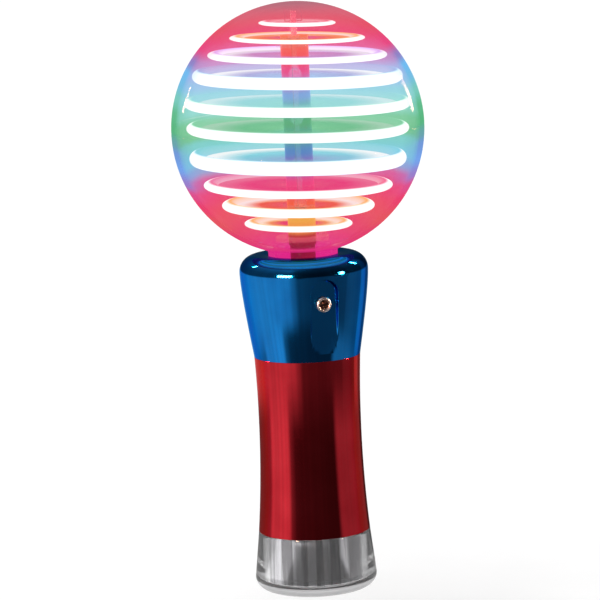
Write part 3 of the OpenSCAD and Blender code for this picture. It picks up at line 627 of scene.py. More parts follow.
cap = grid_piece("clear_tail_cap", turned(cap_outline, 192))


def clear_plastic(name, clearness, wave):
    """Thick clear plastic: what isn't let through is a pale haze, and a slow noise waves the surface."""
    material, tree, shader = new_finish(name, {
        "Base Color": (0.97, 0.97, 0.98, 1), "IOR": 1.47, "Transmission Weight": clearness,
    })
    dull(shader, 1400, 0.01, 0.06)
    emboss(shader, speckle(tree, 130, 2.0), wave, 0.3)
    return material


def face_middles(mesh):
    """Middle of each face, in millimetres."""
    middles = np.empty(len(mesh.polygons) * 3)
    mesh.polygons.foreach_get("center", middles)
    return middles.reshape(-1, 3) / MM


def set_slots(mesh, slots):
    """Sets the material slot of each face."""
    mesh.polygons.foreach_set("material_index", np.asarray(slots, np.int32))


clear_cap = clear_plastic("clear_cap", 0.95, 0.03)
# Less clearness and a paler haze on the foot paint the light gathered by its round corner.
foot_haze_painted_light = clear_plastic("foot_haze_painted_light", 0.5, 0.08)
fit(cap, "tail_cap", "clear_cap", clear_cap, foot_haze_painted_light, node="tail_cap")
in_foot = face_middles(cap.data)[:, 2] < foot_top
set_slots(cap.data, in_foot)
print("hazy faces:", int(in_foot.sum()))

# %% [markdown]
# A silver cup stands inside the cap. It is thin metallised plastic, so its film is streaked from top to
# bottom: a noise that is stretched along Z gives both the streaks and a slight buckle.

# %% Silver cup
liner_r, liner_in, liner_top, liner_floor = 16.58, 15.78, 19.7, 4.7
liner_edge, liner_bevel, liner_corner, cove_r, cove_h = 0.08, 0.1, 0.3, 0.18, 0.2
liner_outline = np.array([
    [0, cap_floor], [liner_r - liner_corner, cap_floor], [liner_r - liner_edge, cap_floor + liner_edge],
    [liner_r, cap_floor + liner_corner], [liner_r, liner_top - liner_bevel],
    [liner_r - liner_edge, liner_top], [liner_in + liner_edge, liner_top],
    [liner_in, liner_top - liner_bevel], [liner_in, liner_floor + cove_h],
    [liner_in - cove_r, liner_floor], [0, liner_floor],
])
liner = grid_piece("silver_liner", turned(liner_outline, 128))
silver, tree, shader = new_finish("silver_film", {"Metallic": 1.0})
streaks = speckle(tree, 520, 2.0, (1, 1, 0.03))
feed(shader, {"Base Color": ramp(tree, streaks, [(0.42, (0.22, 0.21, 0.22)), (0.58, (0.92, 0.91, 0.93))])})
dull(shader, 900, 0.08, 0.22)
emboss(shader, speckle(tree, 420, 2.0, (1, 1, 0.3)), 0.02, 0.35)
fit(liner, "tail_cap", "silver_liner", silver, node="cap_liner")

# %% [markdown]
# While the lamps spin, the globe glows in bands: rose at the top, sky blue, green at the middle, blue
# again, pink, and magenta at the neck. The light lies on the inside, so the far wall shows it and the
# near wall stays clear. The inside's material therefore lets light through where it is met from within
# the plastic. The outside is clear gloss whose edges pick up the colour, as the edge of a lit plastic
# sheet does, and near the neck it stays clearer, so the dark hub shows.

# %% Globe finishes
globe_z, globe_r, globe_in = 157.458, 42.5, 40.9
clearer_zone, thinner_zone, neck_zone = (-38, -30), (-40.6, -39.4), (-41.2, -41)
edge_tones = [
    (0.00, (0.75, 0.02, 0.25)), (0.09, (0.78, 0.03, 0.14)), (0.15, (0.80, 0.07, 0.10)),
    (0.22, (0.84, 0.03, 0.14)), (0.27, (0.74, 0.06, 0.26)), (0.31, (0.30, 0.20, 0.61)),
    (0.37, (0.16, 0.36, 0.85)), (0.43, (0.15, 0.31, 0.71)), (0.47, (0.12, 0.37, 0.40)),
    (0.52, (0.08, 0.47, 0.20)), (0.58, (0.10, 0.50, 0.25)), (0.64, (0.18, 0.60, 0.52)),
    (0.70, (0.16, 0.51, 0.80)), (0.74, (0.15, 0.50, 0.90)), (0.78, (0.27, 0.21, 0.57)),
    (0.83, (0.82, 0.04, 0.20)), (0.90, (0.80, 0.06, 0.12)), (0.96, (0.70, 0.11, 0.17)),
    (1.00, (0.46, 0.14, 0.19)),
]
inside_tones = [
    (0.00, (0.75, 0.02, 0.25)), (0.09, (0.78, 0.03, 0.14)), (0.15, (0.80, 0.07, 0.10)),
    (0.24, (0.84, 0.03, 0.14)), (0.28, (0.74, 0.06, 0.26)), (0.32, (0.30, 0.35, 0.62)),
    (0.36, (0.20, 0.60, 0.72)), (0.42, (0.20, 0.62, 0.60)), (0.45, (0.18, 0.56, 0.28)),
    (0.50, (0.20, 0.58, 0.32)), (0.55, (0.30, 0.70, 0.66)), (0.61, (0.30, 0.66, 0.76)),
    (0.66, (0.36, 0.57, 0.83)), (0.71, (0.48, 0.42, 0.74)), (0.75, (0.62, 0.28, 0.58)),
    (0.80, (0.78, 0.10, 0.30)), (0.86, (0.82, 0.05, 0.16)), (0.92, (0.78, 0.08, 0.14)),
    (1.00, (0.46, 0.14, 0.19)),
]


def banded(tree, tones, waver):
    """The glow's colour by height on the globe, from its lowest point to its highest."""
    return ramp(tree, height_share(tree, globe_z - globe_r, globe_z + globe_r, waver), tones, "EASE")


def zone_share(tree, zone):
    """0 below a zone of heights and 1 above it, counted from the globe's centre."""
    return height_share(tree, globe_z + zone[0], globe_z + zone[1])


def veil(tree, clear_to, half_at, full_from):
    """How much of the near wall shows: a trace where it is met squarely, and all of it edge on."""
    return greys(tree, edge_on(tree), [(0.0, 0.05), (clear_to, 0.07), (half_at, 0.4), (full_from, 0.92),
                                       (full_from + 0.11, 1.0)])


globe_glow, tree, shader = new_finish("globe_glow", {
    "Base Color": (0.02, 0.02, 0.02, 1), "Roughness": 0.3, "Specular IOR Level": 0.0,
    "Emission Strength": 1.0,
})
feed(shader, {"Emission Color": banded(tree, inside_tones, 1.5),
              "Alpha": spread(tree, from_within(tree), 0.97, 0.04)})

clear_globe, tree, shader = new_finish("clear_globe", {
    "Base Color": (0.03, 0.03, 0.03, 1), "Roughness": 0.04, "IOR": 1.14, "Specular IOR Level": 0.2,
    "Emission Strength": 0.95,
})
low_veil, high_veil = veil(tree, 0.66, 0.70, 0.74), veil(tree, 0.45, 0.63, 0.74)
cover = spread(tree, zone_share(tree, clearer_zone), low_veil, high_veil)
cover = times(tree, cover, spread(tree, zone_share(tree, thinner_zone), 0.4, 1.0))
cover = spread(tree, zone_share(tree, neck_zone), veil(tree, 0.32, 0.40, 0.46), cover)
gloss = greys(tree, edge_on(tree), [(0.0, 0.2), (0.35, 0.3), (0.52, 0.45), (0.62, 0.3), (0.72, 0.0)])
feed(shader, {"Emission Color": banded(tree, edge_tones, 1.0), "Specular IOR Level": gloss, "Alpha": cover})
emboss(shader, speckle(tree, 120, 2.0), 0.02, 0.2)

clear_joint, tree, shader = new_finish("clear_joint", {
    "Base Color": (0.8, 0.8, 0.8, 1), "Alpha": 0.02, "Specular IOR Level": 0.0,
})
dull(shader, 1400, 0.1, 0.3)
print("globe bands:", len(edge_tones), "outside,", len(inside_tones), "inside")

# %% [markdown]
# The globe is moulded in two halves that lap at the middle: the lower half's tongue stands inside the
# upper half's edge. The upper half has a small boss for the pivot pin, and the lower half a neck with a
# flange that the collar holds. Each is one outline turned about the axis, and a face's place tells
# whether it belongs to the outside, to the glowing inside or to the lap.

# %% Globe halves
lap_h, joint_r, lap_gap, seam_gap, seam_edge = 3.0, 41.7, 0.025, 0.02, 0.1
boss_r, boss_len, boss_edge, pin_r, pin_len = 3.0, 5.0, 0.2, 1.05, 4.0
neck_r, neck_bore, flange_r = 11.7, 9.9, 13.9
neck_low, flange_low = 113.2 - globe_z, 110.8 - globe_z
tongue_top = lap_h - 2 * lap_gap
seam_angle, fillet_angle = 0.3, 1.0
fillet_out, fillet_high, fillet_low = 0.12, 0.25, 0.8
skin, seam_skin, bore_rise, lap_over = 0.3, 0.06, 1.5, 0.1


def level(r, h):
    """Radius of a sphere's ring at a height above its centre."""
    return math.sqrt(r * r - h * h)


def rising(r, h):
    """Angle above the equator, in degrees, at which a sphere of radius r reaches the height h."""
    return math.degrees(math.asin(h / r))


boss_end = globe_in - boss_len
pin_top = boss_end + pin_len
neck_top = -level(globe_r, neck_r)
upper_outline = np.concatenate([
    arc((0, 0), globe_r, 90, seam_angle, 72),
    [[globe_r - seam_edge, seam_gap], [joint_r + lap_gap, seam_gap]],
    [[level(joint_r + lap_gap, lap_h), lap_h]],
    arc((0, 0), globe_in, rising(globe_in, lap_h), 90 - rising(globe_in, boss_r), 64),
    [[boss_r, boss_end + boss_edge], [boss_r - boss_edge, boss_end]],
    [[pin_r, boss_end], [pin_r, pin_top], [0, pin_top]],
])
lower_outline = np.concatenate([
    arc((0, 0), globe_r, -seam_angle, rising(globe_r, neck_r) - 90 + fillet_angle, 64),
    [[neck_r + fillet_out, neck_top - fillet_high], [neck_r, neck_top - fillet_low]],
    [[neck_r, neck_low], [flange_r, neck_low], [flange_r, flange_low], [neck_bore, flange_low]],
    arc((0, 0), globe_in, rising(globe_in, neck_bore) - 90, rising(globe_in, tongue_top), 72),
    [[level(joint_r - lap_gap, tongue_top), tongue_top], [joint_r - lap_gap, -seam_gap]],
    [[globe_r - seam_edge, -seam_gap]],
])


def globe_slots(mesh):
    """Slot of each face: 1 on the inner sphere and in the neck's bore, 2 in the lap joint, 0 outside."""
    middles = face_middles(mesh) - [0, 0, globe_z]
    from_centre = np.linalg.norm(middles, axis=1)
    from_axis = np.linalg.norm(middles[:, :2], axis=1)
    in_bore = (abs(from_axis - neck_bore) < skin) & (middles[:, 2] < bore_rise - globe_in)
    glowing = (abs(from_centre - globe_in) < skin) | in_bore
    in_lap = (abs(middles[:, 2]) < lap_h + lap_over) & (from_centre < globe_r - seam_skin) & ~glowing
    return glowing + 2 * in_lap


for name, outline, ring, node in (("globe_top_half", upper_outline, False, "globe_upper"),
                                  ("globe_low_half", lower_outline, True, "globe_lower")):
    half = grid_piece(name, turned(outline + [0, globe_z], 192), ring)
    slots = globe_slots(half.data)
    fit(half, "handle", "clear_globe", clear_globe, globe_glow, clear_joint, node=node)
    set_slots(half.data, slots)
    print(name, "glowing faces:", int((slots == 1).sum()), "faces in the lap:", int((slots == 2).sum()))

# %% [markdown]
# Each lamp's tip draws a ring of light as the rotor spins. A ring is a slim tube bent round the axis, and
# a thin sheet inside it stands for the light that the sweeping lamp throws across its own plane. The
# spinning rotor leans a little in its bearings, so the rings lean too, and they stay where they are while
# the rotor turns. A torus could be scaled for this, but a grid also gives a UV map whose V goes round the
# tube's section.

# %% Shape of a ring of light
rotor_lean = 0.034
ring_along, ring_round = 192, 24


def lean(points):
    """Turns points about the globe's centre by the rotor's lean, toward the camera's right."""
    side, up = np.array([math.cos(view_turn), math.sin(view_turn), 0]), np.array([0, 0, 1])
    tip = (points @ side)[..., None] * ((math.cos(rotor_lean) - 1) * side - math.sin(rotor_lean) * up)
    lift = (points @ up)[..., None] * ((math.cos(rotor_lean) - 1) * up + math.sin(rotor_lean) * side)
    return points + tip + lift + [0, 0, globe_z]


def ring_grid(r, h, half_deep, half_high):
    """A tube bent round Z: an ellipse about (r, h) carried round the axis; V = 0 and 1 face outward."""
    s = np.linspace(0, 2 * np.pi, ring_round, endpoint=False)
    section = np.stack([r + half_deep * np.cos(s), h + half_high * np.sin(s)], axis=1)
    return lean(turned(section, ring_along).swapaxes(0, 1))


def ring_uv():
    """UV of each corner of the ring's faces: U along the ring and V round its section."""
    face = np.stack(np.indices((ring_along, ring_round)), axis=-1)[:, :, None]
    corner = np.array([[1, 0], [1, 1], [0, 1], [0, 0]])
    return ((face + corner) / [ring_along, ring_round]).reshape(-1, 2)


def light_piece(name, grids):
    """One mesh of several closed tubes with a UV map."""
    faces = grid_faces(ring_along, ring_round, True, True)[..., ::-1].reshape(-1, 4)
    faces = np.concatenate([faces + i * ring_along * ring_round for i in range(len(grids))])
    mesh = bare_mesh(name, np.reshape(grids, (-1, 3)) * MM, faces)
    layer = mesh.uv_layers.new(name="ring")
    layer.data.foreach_set("uv", np.tile(ring_uv(), (len(grids), 1)).ravel())
    return show(name, mesh)


print("faces in a tube of light:", ring_along * ring_round)

# %% [markdown]
# A ring's outward side is burnt out to white, and its upper and lower sides carry the lamp's colour, so
# the glow is a ramp over V. How much a ring or a sheet covers is a ramp over V too, and both shine only
# outward: where a wall is met from within the tube, it is left clear.

# %% Finish of the light


def outward_share(tree):
    """How far a ring's section looks outward, by the cosine of V's angle: 1 outward, 0 inward."""
    uv = add(tree, "UVMap", uv_map="ring").outputs["UV"]
    v = add(tree, "SeparateXYZ", {"Vector": uv}).outputs["Y"]
    return range_share(tree, calc(tree, "COSINE", times(tree, v, 2 * math.pi)), -1.0, 1.0)


def light_finish(name, glow, cover, strength):
    """Light in the air: ramps over the section set its colour and cover, and only its outside shows."""
    material, tree, shader = new_finish(name, {
        "Base Color": (0, 0, 0, 1), "Roughness": 1.0, "Specular IOR Level": 0.0,
        "Emission Strength": strength,
    })
    outward = outward_share(tree)
    outside = spread(tree, from_within(tree), 1.0, 0.0)
    feed(shader, {"Emission Color": ramp(tree, outward, glow),
                  "Alpha": times(tree, greys(tree, outward, cover), outside)})
    return material


def paler(tint, share):
    """A colour mixed with white."""
    return tuple(c + share * (1 - c) for c in tint)


lamp_tints = {
    "red": (1.0, 0.22, 0.34), "amber": (1.0, 0.52, 0.10), "violet": (0.66, 0.42, 0.92),
    "blue": (0.22, 0.66, 0.95), "green": (0.26, 0.86, 0.55),
}
far_side = {"red": 0.35, "amber": 0.7, "violet": 0.9, "blue": 0.15, "green": 0.06}
ring_finishes = {}
for colour, tint in lamp_tints.items():
    glow = [(0.0, paler(tint, 0.7)), (0.45, tint), (0.62, paler(tint, 0.5)), (0.8, (1, 1, 1))]
    cover = [(0.0, far_side[colour]), (0.52, far_side[colour]), (0.68, 1.0)]
    ring_finishes[colour] = light_finish(f"ring_light_{colour}", glow, cover, 1.25)
print("lights of the rings:", *ring_finishes)

# %% [markdown]
# The ten rings lie as the photograph shows them. Each row of the table gives a lamp's colour, the ring's
# height above the globe's centre, its outer radius and half its thickness, and then its sheet: the tint,
# how much of what lies behind is covered, and how white the haze at the outer edge is.

# %% Ten rings of light
ring_deep = 2.4
sheet_in, sheet_half = 6.0, 0.15
light_rings = [
    ("red", 35.3, 12.9, 0.65, (0.86, 0.03, 0.18), 0.95, 0.1),
    ("amber", 30.3, 22.7, 0.7, (0.95, 0.24, 0.06), 0.95, 0.1),
    ("violet", 24.6, 30.1, 1.1, (0.52, 0.28, 0.58), 0.85, 0.7),
    ("blue", 17.6, 35.3, 2.1, (0.45, 0.36, 0.68), 0.85, 1.0),
    ("green", 8.5, 38.0, 1.7, (0.34, 0.70, 0.74), 0.78, 0.5),
    ("green", 0.1, 37.4, 1.7, (0.14, 0.48, 0.24), 0.8, 0.3),
    ("blue", -10.0, 36.5, 2.4, (0.24, 0.68, 0.76), 0.85, 1.0),
    ("red", -19.1, 31.8, 1.3, (0.87, 0.02, 0.16), 0.95, 0.12),
    ("amber", -26.0, 25.7, 1.5, (0.89, 0.14, 0.04), 0.95, 0.8),
    ("amber", -32.2, 18.2, 1.0, (0.95, 0.42, 0.10), 0.95, 0.6),
]
for number, (colour, h, outer_r, half_high, tint, covered, haze) in enumerate(light_rings, 1):
    sheet_out = outer_r - 2 * ring_deep
    ring = light_piece(f"light_ring_{number}", [
        ring_grid(outer_r - ring_deep, h, ring_deep, half_high),
        ring_grid((sheet_out + sheet_in) / 2, h, (sheet_out - sheet_in) / 2, sheet_half),
    ])
    sheet_finish = light_finish(f"sheet_light_{number}", [(0.45, tint), (0.85, paler(tint, haze))],
                                [(0.0, 0.1), (0.7, covered), (0.9, 0.95)], 1.0)
    fit(ring, "handle", f"{colour}_lamp", ring_finishes[colour], sheet_finish)
    set_slots(ring.data, np.repeat((0, 1), ring_along * ring_round))
print("rings of light:", len(light_rings))

# %% [markdown]
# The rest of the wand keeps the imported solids, which are already the right shape, and gets real finishes:
# moulded plastics with a fine grain, drawn and brushed metals, and lamps of tinted resin. The lamps are
# nearly clear here, because at speed the eye sees their rings and not the lamps themselves.

# %% Plastics, metals and lamps


def shaded(colour, share):
    """A colour made darker."""
    return tuple(share * c for c in colour)


def moulded(name, colour, shine=0.45, depth=0.02):
    """Moulded plastic: two close tones, a soft gloss and a fine grain."""
    material, tree, shader = new_finish(name, {"IOR": 1.49})
    feed(shader, {"Base Color": mottle(tree, 220, shaded(colour, 0.86), colour)})
    dull(shader, 1600, shine - 0.08, shine + 0.1)
    emboss(shader, speckle(tree, 2600), depth, 0.4)
    return material


def drawn_metal(name, colour, shine=0.25, stretch=(1, 1, 0.08)):
    """Metal with fine lines along its length, from a noise that is stretched along one axis."""
    material, tree, shader = new_finish(name, {"Metallic": 1.0})
    lines = speckle(tree, 1500, 4.0, stretch)
    feed(shader, {"Base Color": ramp(tree, lines, [(0.3, shaded(colour, 0.72)), (0.7, colour)]),
                  "Roughness": spread(tree, lines, shine - 0.07, shine + 0.15)})
    emboss(shader, lines, 0.01, 0.4)
    return material


def lit_lamp(name, tint):
    """A lamp's tinted resin, lit from inside in two tones."""
    material, tree, shader = new_finish(name, {
        "Roughness": 0.2, "IOR": 1.54, "Emission Strength": 1.0, "Alpha": 0.03,
    })
    cloudy = mottle(tree, 700, tint, paler(tint, 0.6))
    feed(shader, {"Base Color": cloudy, "Emission Color": cloudy})
    return material


inner = {
    "steel": drawn_metal("plated_steel", (0.74, 0.72, 0.70), 0.22),
    "motor_steel": drawn_metal("motor_can_steel", (0.60, 0.61, 0.63), 0.3),
    "magnet": moulded("sintered_magnet", (0.07, 0.07, 0.08), 0.55, 0.05),
    "winding": drawn_metal("copper_winding", (0.72, 0.36, 0.20), 0.3, (0.08, 0.08, 1)),
    "brass_contact": drawn_metal("plated_contact", (0.80, 0.62, 0.28), 0.22, (0.1, 1, 1)),
    "white_plastic": moulded("white_plastic", (0.78, 0.77, 0.74)),
    "black_plastic": moulded("black_plastic", (0.03, 0.03, 0.035), 0.4),
    "lead_jacket": moulded("lead_jacket", (0.55, 0.03, 0.03), 0.35, 0.01),
}
for colour, tint in lamp_tints.items():
    inner[f"{colour}_lamp"] = lit_lamp(f"lamp_{colour}", tint)
print("plastics, metals and lamps:", len(inner))

# %% [markdown]
# A circuit board shows its copper lines through the green mask, and square Voronoi cells give such lines
# without drawing any. The rotor's board is the same, but it glows red in the lamps' light. The cells' wraps
# are printed in bands, which a ramp over the height paints.

# %% Boards and cell wraps
trace_width = 0.10


def board_finish(name, sockets):
    """Solder mask over copper lines, which follow the borders of square cells; gives the cells as well."""
    material, tree, shader = new_finish(name, {"IOR": 1.5, **sockets})
    cells = add(tree, "TexVoronoi", {"Vector": place(tree), "Scale": 900.0}, distance="CHEBYCHEV",
                feature="DISTANCE_TO_EDGE").outputs["Distance"]
    mask = [(0.0, (0.10, 0.30, 0.12)), (trace_width, (0.02, 0.12, 0.05))]
    feed(shader, {"Base Color": ramp(tree, cells, mask, "CONSTANT")})
    dull(shader, 1200, 0.25, 0.4)
    return material, tree, shader, cells


inner["green_board"], tree, shader, cells = board_finish("solder_mask", {"Coat Weight": 0.3})
emboss(shader, cells, 0.03, 0.3)
lit_board, tree, shader, cells = board_finish("lit_board", {"Emission Strength": 1.0, "Alpha": 0.3})
red_light = [(0.0, (0.72, 0.10, 0.16)), (trace_width, (0.66, 0.05, 0.15))]
feed(shader, {"Emission Color": ramp(tree, cells, red_light, "CONSTANT")})

inner["cell_wrap"], tree, shader = new_finish("cell_wrap", {
    "Metallic": 0.6, "Coat Weight": 0.4, "Coat Roughness": 0.15,
})
wrap_low, wrap_high = 10, 62
wrap_bands = [(0.0, (0.62, 0.60, 0.56)), (0.06, (0.05, 0.05, 0.055)), (0.70, (0.60, 0.34, 0.08)),
              (0.97, (0.62, 0.60, 0.56))]
feed(shader, {"Base Color": ramp(tree, height_share(tree, wrap_low, wrap_high), wrap_bands, "CONSTANT")})
dull(shader, 900, 0.2, 0.36)
emboss(shader, speckle(tree, 300), 0.02, 0.3)
print("boards and wraps:", lit_board.name, "and", len(inner), "finishes so far")

# %% [markdown]
# The column is frosted plastic that takes the light of the lamps beside it, so its colour is a ramp over
# the height. The hub under it is white plastic painted dark red, as painted shade with a faint painted red
# light, and the pin above it catches red light. The arms and wires are swept into a blur like the lamps,
# so they are nearly clear.

# %% Column, hub, arms and wires
column_low, column_high = 119, 189
column_tones = [
    (0.00, (0.26, 0.006, 0.013)), (0.03, (0.40, 0.03, 0.02)), (0.06, (0.85, 0.28, 0.06)),
    (0.12, (0.84, 0.42, 0.05)), (0.19, (0.87, 0.11, 0.03)), (0.29, (0.87, 0.013, 0.15)),
    (0.36, (0.30, 0.08, 0.40)), (0.44, (0.07, 0.20, 0.54)), (0.51, (0.08, 0.33, 0.30)),
    (0.58, (0.08, 0.37, 0.15)), (0.65, (0.14, 0.44, 0.42)), (0.71, (0.19, 0.35, 0.70)),
    (0.77, (0.50, 0.16, 0.45)), (0.83, (0.84, 0.03, 0.18)), (0.89, (0.91, 0.08, 0.07)),
    (1.00, (0.90, 0.20, 0.08)),
]
inner["frosted_column"], tree, shader = new_finish("frosted_column", {
    "Base Color": (0.05, 0.03, 0.03, 1), "IOR": 1.49, "Emission Strength": 0.95,
})
column_share = height_share(tree, column_low, column_high, 0.8)
feed(shader, {"Emission Color": ramp(tree, column_share, column_tones, "EASE")})
dull(shader, 1500, 0.3, 0.5)
emboss(shader, speckle(tree, 2200), 0.03, 0.4)

# The hub's dark red base and emission are painted shade and painted red light, not the white plastic's
# colour.
hub_painted_shade_red_light, tree, shader = new_finish("hub_painted_shade_red_light", {"Base Color": (0.06, 0.01, 0.01, 1), "Emission Strength": 1.0})
feed(shader, {"Emission Color": mottle(tree, 260, (0.12, 0.003, 0.010), (0.24, 0.006, 0.016))})
dull(shader, 1500, 0.3, 0.5)

lit_pin, tree, shader = new_finish("lit_pin", {
    "Metallic": 1.0, "Base Color": (0.7, 0.68, 0.68, 1), "Emission Strength": 1.0,
})
feed(shader, {"Emission Color": mottle(tree, 900, (0.42, 0.05, 0.09), (0.60, 0.08, 0.12))})
dull(shader, 1500, 0.2, 0.35)

inner["clear_arm"], tree, shader = new_finish("clear_arm", {
    "Base Color": (0.9, 0.9, 0.92, 1), "IOR": 1.49, "Alpha": 0.10,
})
dull(shader, 1200, 0.05, 0.15)
emboss(shader, speckle(tree, 300), 0.02, 0.3)

swept_wire, tree, shader = new_finish("swept_wire", {"Metallic": 1.0, "Alpha": 0.12})
feed(shader, {"Base Color": mottle(tree, 900, (0.62, 0.46, 0.22), (0.85, 0.68, 0.36))})
dull(shader, 1500, 0.2, 0.35)
print("inner finishes:", len(inner))

# %% [markdown]
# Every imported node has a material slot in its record, so one loop dresses them all. The pieces that spin
# in the lamps' light have finishes of their own.

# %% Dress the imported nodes
inner.update({"blue_shell": blue_lacquer, "red_shell": red_lacquer, "clear_cap": clear_cap,
              "silver_liner": silver, "clear_globe": clear_globe})
for part in frame["record"]["subparts"]:
    give(nodes[part["node"]], inner[part["material_slot"]])
for node, finish in (("rotor_board", lit_board), ("control_chip", lit_board), ("led_wiring", swept_wire),
                     ("top_pivot_pin", lit_pin)):
    give(nodes[node], finish)

# %% [markdown]
# The hub at the column's foot has a core, painted dark red as painted shade with a faint painted red light,
# that shows through its clear flange, so the two are separate closed surfaces here, both turned.

# %% Rotor hub
hub_z, stem_r, lip_r, core_r, plug_r = 104.0, 4.25, 4.7, 4.65, 3.15
hub_flange_z, column_foot, plug_len = 118.16, 119.76, 7.0
shaft_r, shaft_top, core_gap = 1.05, 116.2, 0.01
lips = [(hub_z + 0.3, hub_z + 0.8), (hub_z + 3.4, hub_z + 3.9)]
hub_outline = np.concatenate([
    [[0, shaft_top], [shaft_r, shaft_top], [shaft_r, hub_z], [stem_r, hub_z]],
    *[[[stem_r, low], [lip_r, low], [lip_r, high], [stem_r, high]] for low, high in lips],
    [[stem_r, hub_flange_z], [core_r, hub_flange_z + core_gap], [core_r, column_foot - core_gap]],
    [[plug_r, column_foot - core_gap], [plug_r, column_foot + plug_len], [0, column_foot + plug_len]],
])
hub = grid_piece("rotor_hub_core", turned(hub_outline, 64))
fit(hub, "rotor", "white_plastic", hub_painted_shade_red_light, node="rotor_hub")

hub_flange_in, hub_flange_r, hub_edge = 4.68, 9.0, 0.1
hub_flange_outline = np.array([
    [hub_flange_in, hub_flange_z], [hub_flange_r - hub_edge, hub_flange_z],
    [hub_flange_r, hub_flange_z + hub_edge], [hub_flange_r, column_foot - hub_edge],
    [hub_flange_r - hub_edge, column_foot], [hub_flange_in, column_foot],
])
hub_flange = grid_piece("rotor_hub_flange", turned(hub_flange_outline, 96), ring=True)
fit(hub_flange, "rotor", "clear_arm", clear_joint)

# %% [markdown]
# The screw in the collar's pocket has a bright rounded rim and a cross recess whose shade is painted dark
# brown. A Boolean cross would do, but here the head is a turned grid whose inner rows are pressed down along
# two crossed slots, which also gives the recess soft edges. Distance from the screw's axis paints that shade.

# %% Collar screw
screw_z = collar_z + screw_h
head_r, head_side, head_round, thread_r, recess_shade_r = 2.6, 1.0, 0.55, 1.3, 3.0
dish_r, dish_out, dish_lip, lip_out, dish_steps = 1.7, 1.05, 0.1, 1.42, 28
slot_half, slot_deep, slot_slope, slot_turn = 0.42, 0.7, 1.6, 20
shank_len = pocket_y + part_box("collar_screw")[1].y / MM
screw_outline = np.concatenate([
    line((0, dish_out), (dish_r, dish_out), dish_steps), [[dish_r + dish_lip, lip_out]],
    arc((head_r - head_round, head_side), head_round, 100, 0, 12),
    [[head_r, 0], [thread_r, 0], [thread_r, -shank_len], [0, -shank_len]],
])
screw_points = turned(screw_outline, 128)
from_slot = abs(turned(screw_outline, 128, -slot_turn)[..., :2]).min(axis=-1)
on_dish = np.arange(len(screw_outline))[:, None] < dish_steps - 1
screw_points[..., 2] -= np.where(on_dish, slot_deep * ease(slot_slope * (1 - from_slot / slot_half)), 0)
screw_points = screw_points[..., [0, 2, 1]] * [1, -1, 1] + [0, -pocket_y, screw_z]
screw = grid_piece("collar_screw_head", screw_points)

steel_painted_recess_shade, tree, shader = new_finish("steel_painted_recess_shade", {"Metallic": 1.0})
spot = add(tree, "VectorMath", {0: place(tree), 1: (0, 0, -screw_z * MM)}, operation="ADD").outputs["Vector"]
spot = add(tree, "VectorMath", {0: spot, 1: (1, 0, 1)}, operation="MULTIPLY").outputs["Vector"]
off_axis = add(tree, "VectorMath", {0: spot}, operation="LENGTH").outputs["Value"]
off_axis = range_share(tree, off_axis, 0.0, recess_shade_r * MM)
# Near the axis the head is painted dark brown: painted shade in the cross recess; the rim keeps the steel's
# pale colour.
feed(shader, {"Base Color": ramp(tree, off_axis, [(0.50, (0.16, 0.09, 0.07)), (0.60, (0.86, 0.84, 0.83))])})
dull(shader, 2500, 0.15, 0.4)
emboss(shader, speckle(tree, 3000), 0.03, 0.4)
fit(screw, "handle", "steel", steel_painted_recess_shade, node="collar_screw")

# %% [markdown]
# The springs and the leads are wound and bent wire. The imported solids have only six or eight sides, so
# each is made again as a finer tube along the same path: a circle carried along a curve, square to its
# direction. A Blender curve with a bevel could do this too, but the grid keeps the exact path.

# %% Contact springs
wire_sides = 12


def tube_grid(path, r, steady):
    """A circle of radius r carried along a path; steady is a direction that the path never follows."""
    along = unit(np.gradient(path, axis=0))
    side = unit(np.cross(along, steady))
    top = np.cross(side, along)
    s = np.linspace(0, 2 * np.pi, wire_sides, endpoint=False)
    section = side[:, None] * np.cos(s)[None, :, None] + top[:, None] * np.sin(s)[None, :, None]
    middle = np.repeat(path[:, None], wire_sides, axis=1)
    return np.concatenate([middle[:1], middle + r * section, middle[-1:]])


def wire_piece(name, paths, r, steady):
    """One mesh of several round wires with closed ends."""
    return lay_mesh(name, *joined([tube_grid(path, r, steady) for path in paths]), sharp=60)


def around(r, angle):
    """The point (x, y) at a radius and an angle in degrees."""
    return r * np.array([math.cos(math.radians(angle)), math.sin(math.radians(angle))])


def cone_winding(turns, wide, narrow, climb):
    """A helix on a cone: its radius goes evenly from wide to narrow while it rises by climb."""
    t = np.linspace(0, 1, 253)
    a, r = 2 * np.pi * turns * t, wide + (narrow - wide) * t
    return np.stack([r * np.cos(a), r * np.sin(a), climb * t], axis=1)


spring_wire_r, cell_d = 0.4, 14.6
cell_pitch = cell_d / math.sqrt(3)
low_contact, top_contact = 5.1, 60.9
spring_path = cone_winding(3.5, 4.4, 2.4, 4.6) + [0, 0, spring_wire_r]


def at_cell(angle, path, z, flip=1):
    """Moves a path to a cell's axis, at a height, and turns it over if flip is -1."""
    c, s = around(1, angle)
    x, y, h = (path * [1, flip, flip]).T
    return np.stack([x * c - y * s, x * s + y * c, h], axis=1) + [*around(cell_pitch, angle), z]


low_springs = [at_cell(210, spring_path, low_contact), at_cell(90, spring_path, low_contact)]
top_springs = [at_cell(330, spring_path, top_contact, -1)]
for name, paths, node, body in (("cell_springs_low", low_springs, "bottom_springs", "tail_cap"),
                                ("cell_spring_top", top_springs, "top_spring", "handle")):
    spring = wire_piece(name, paths, spring_wire_r, (0, 0, 1))
    fit(spring, body, "steel", inner["steel"], node=node)

# %% [markdown]
# The leads run from the cells to the switch, from the switch to the motor and back, and from the motor to
# the two brushes, through notches that keep them clear of what turns. Each is a smooth curve through a few
# stops, as a bent wire is.

# %% Leads
lead_r = 0.6
lead_steady = (0.62, -0.35, 0.03)


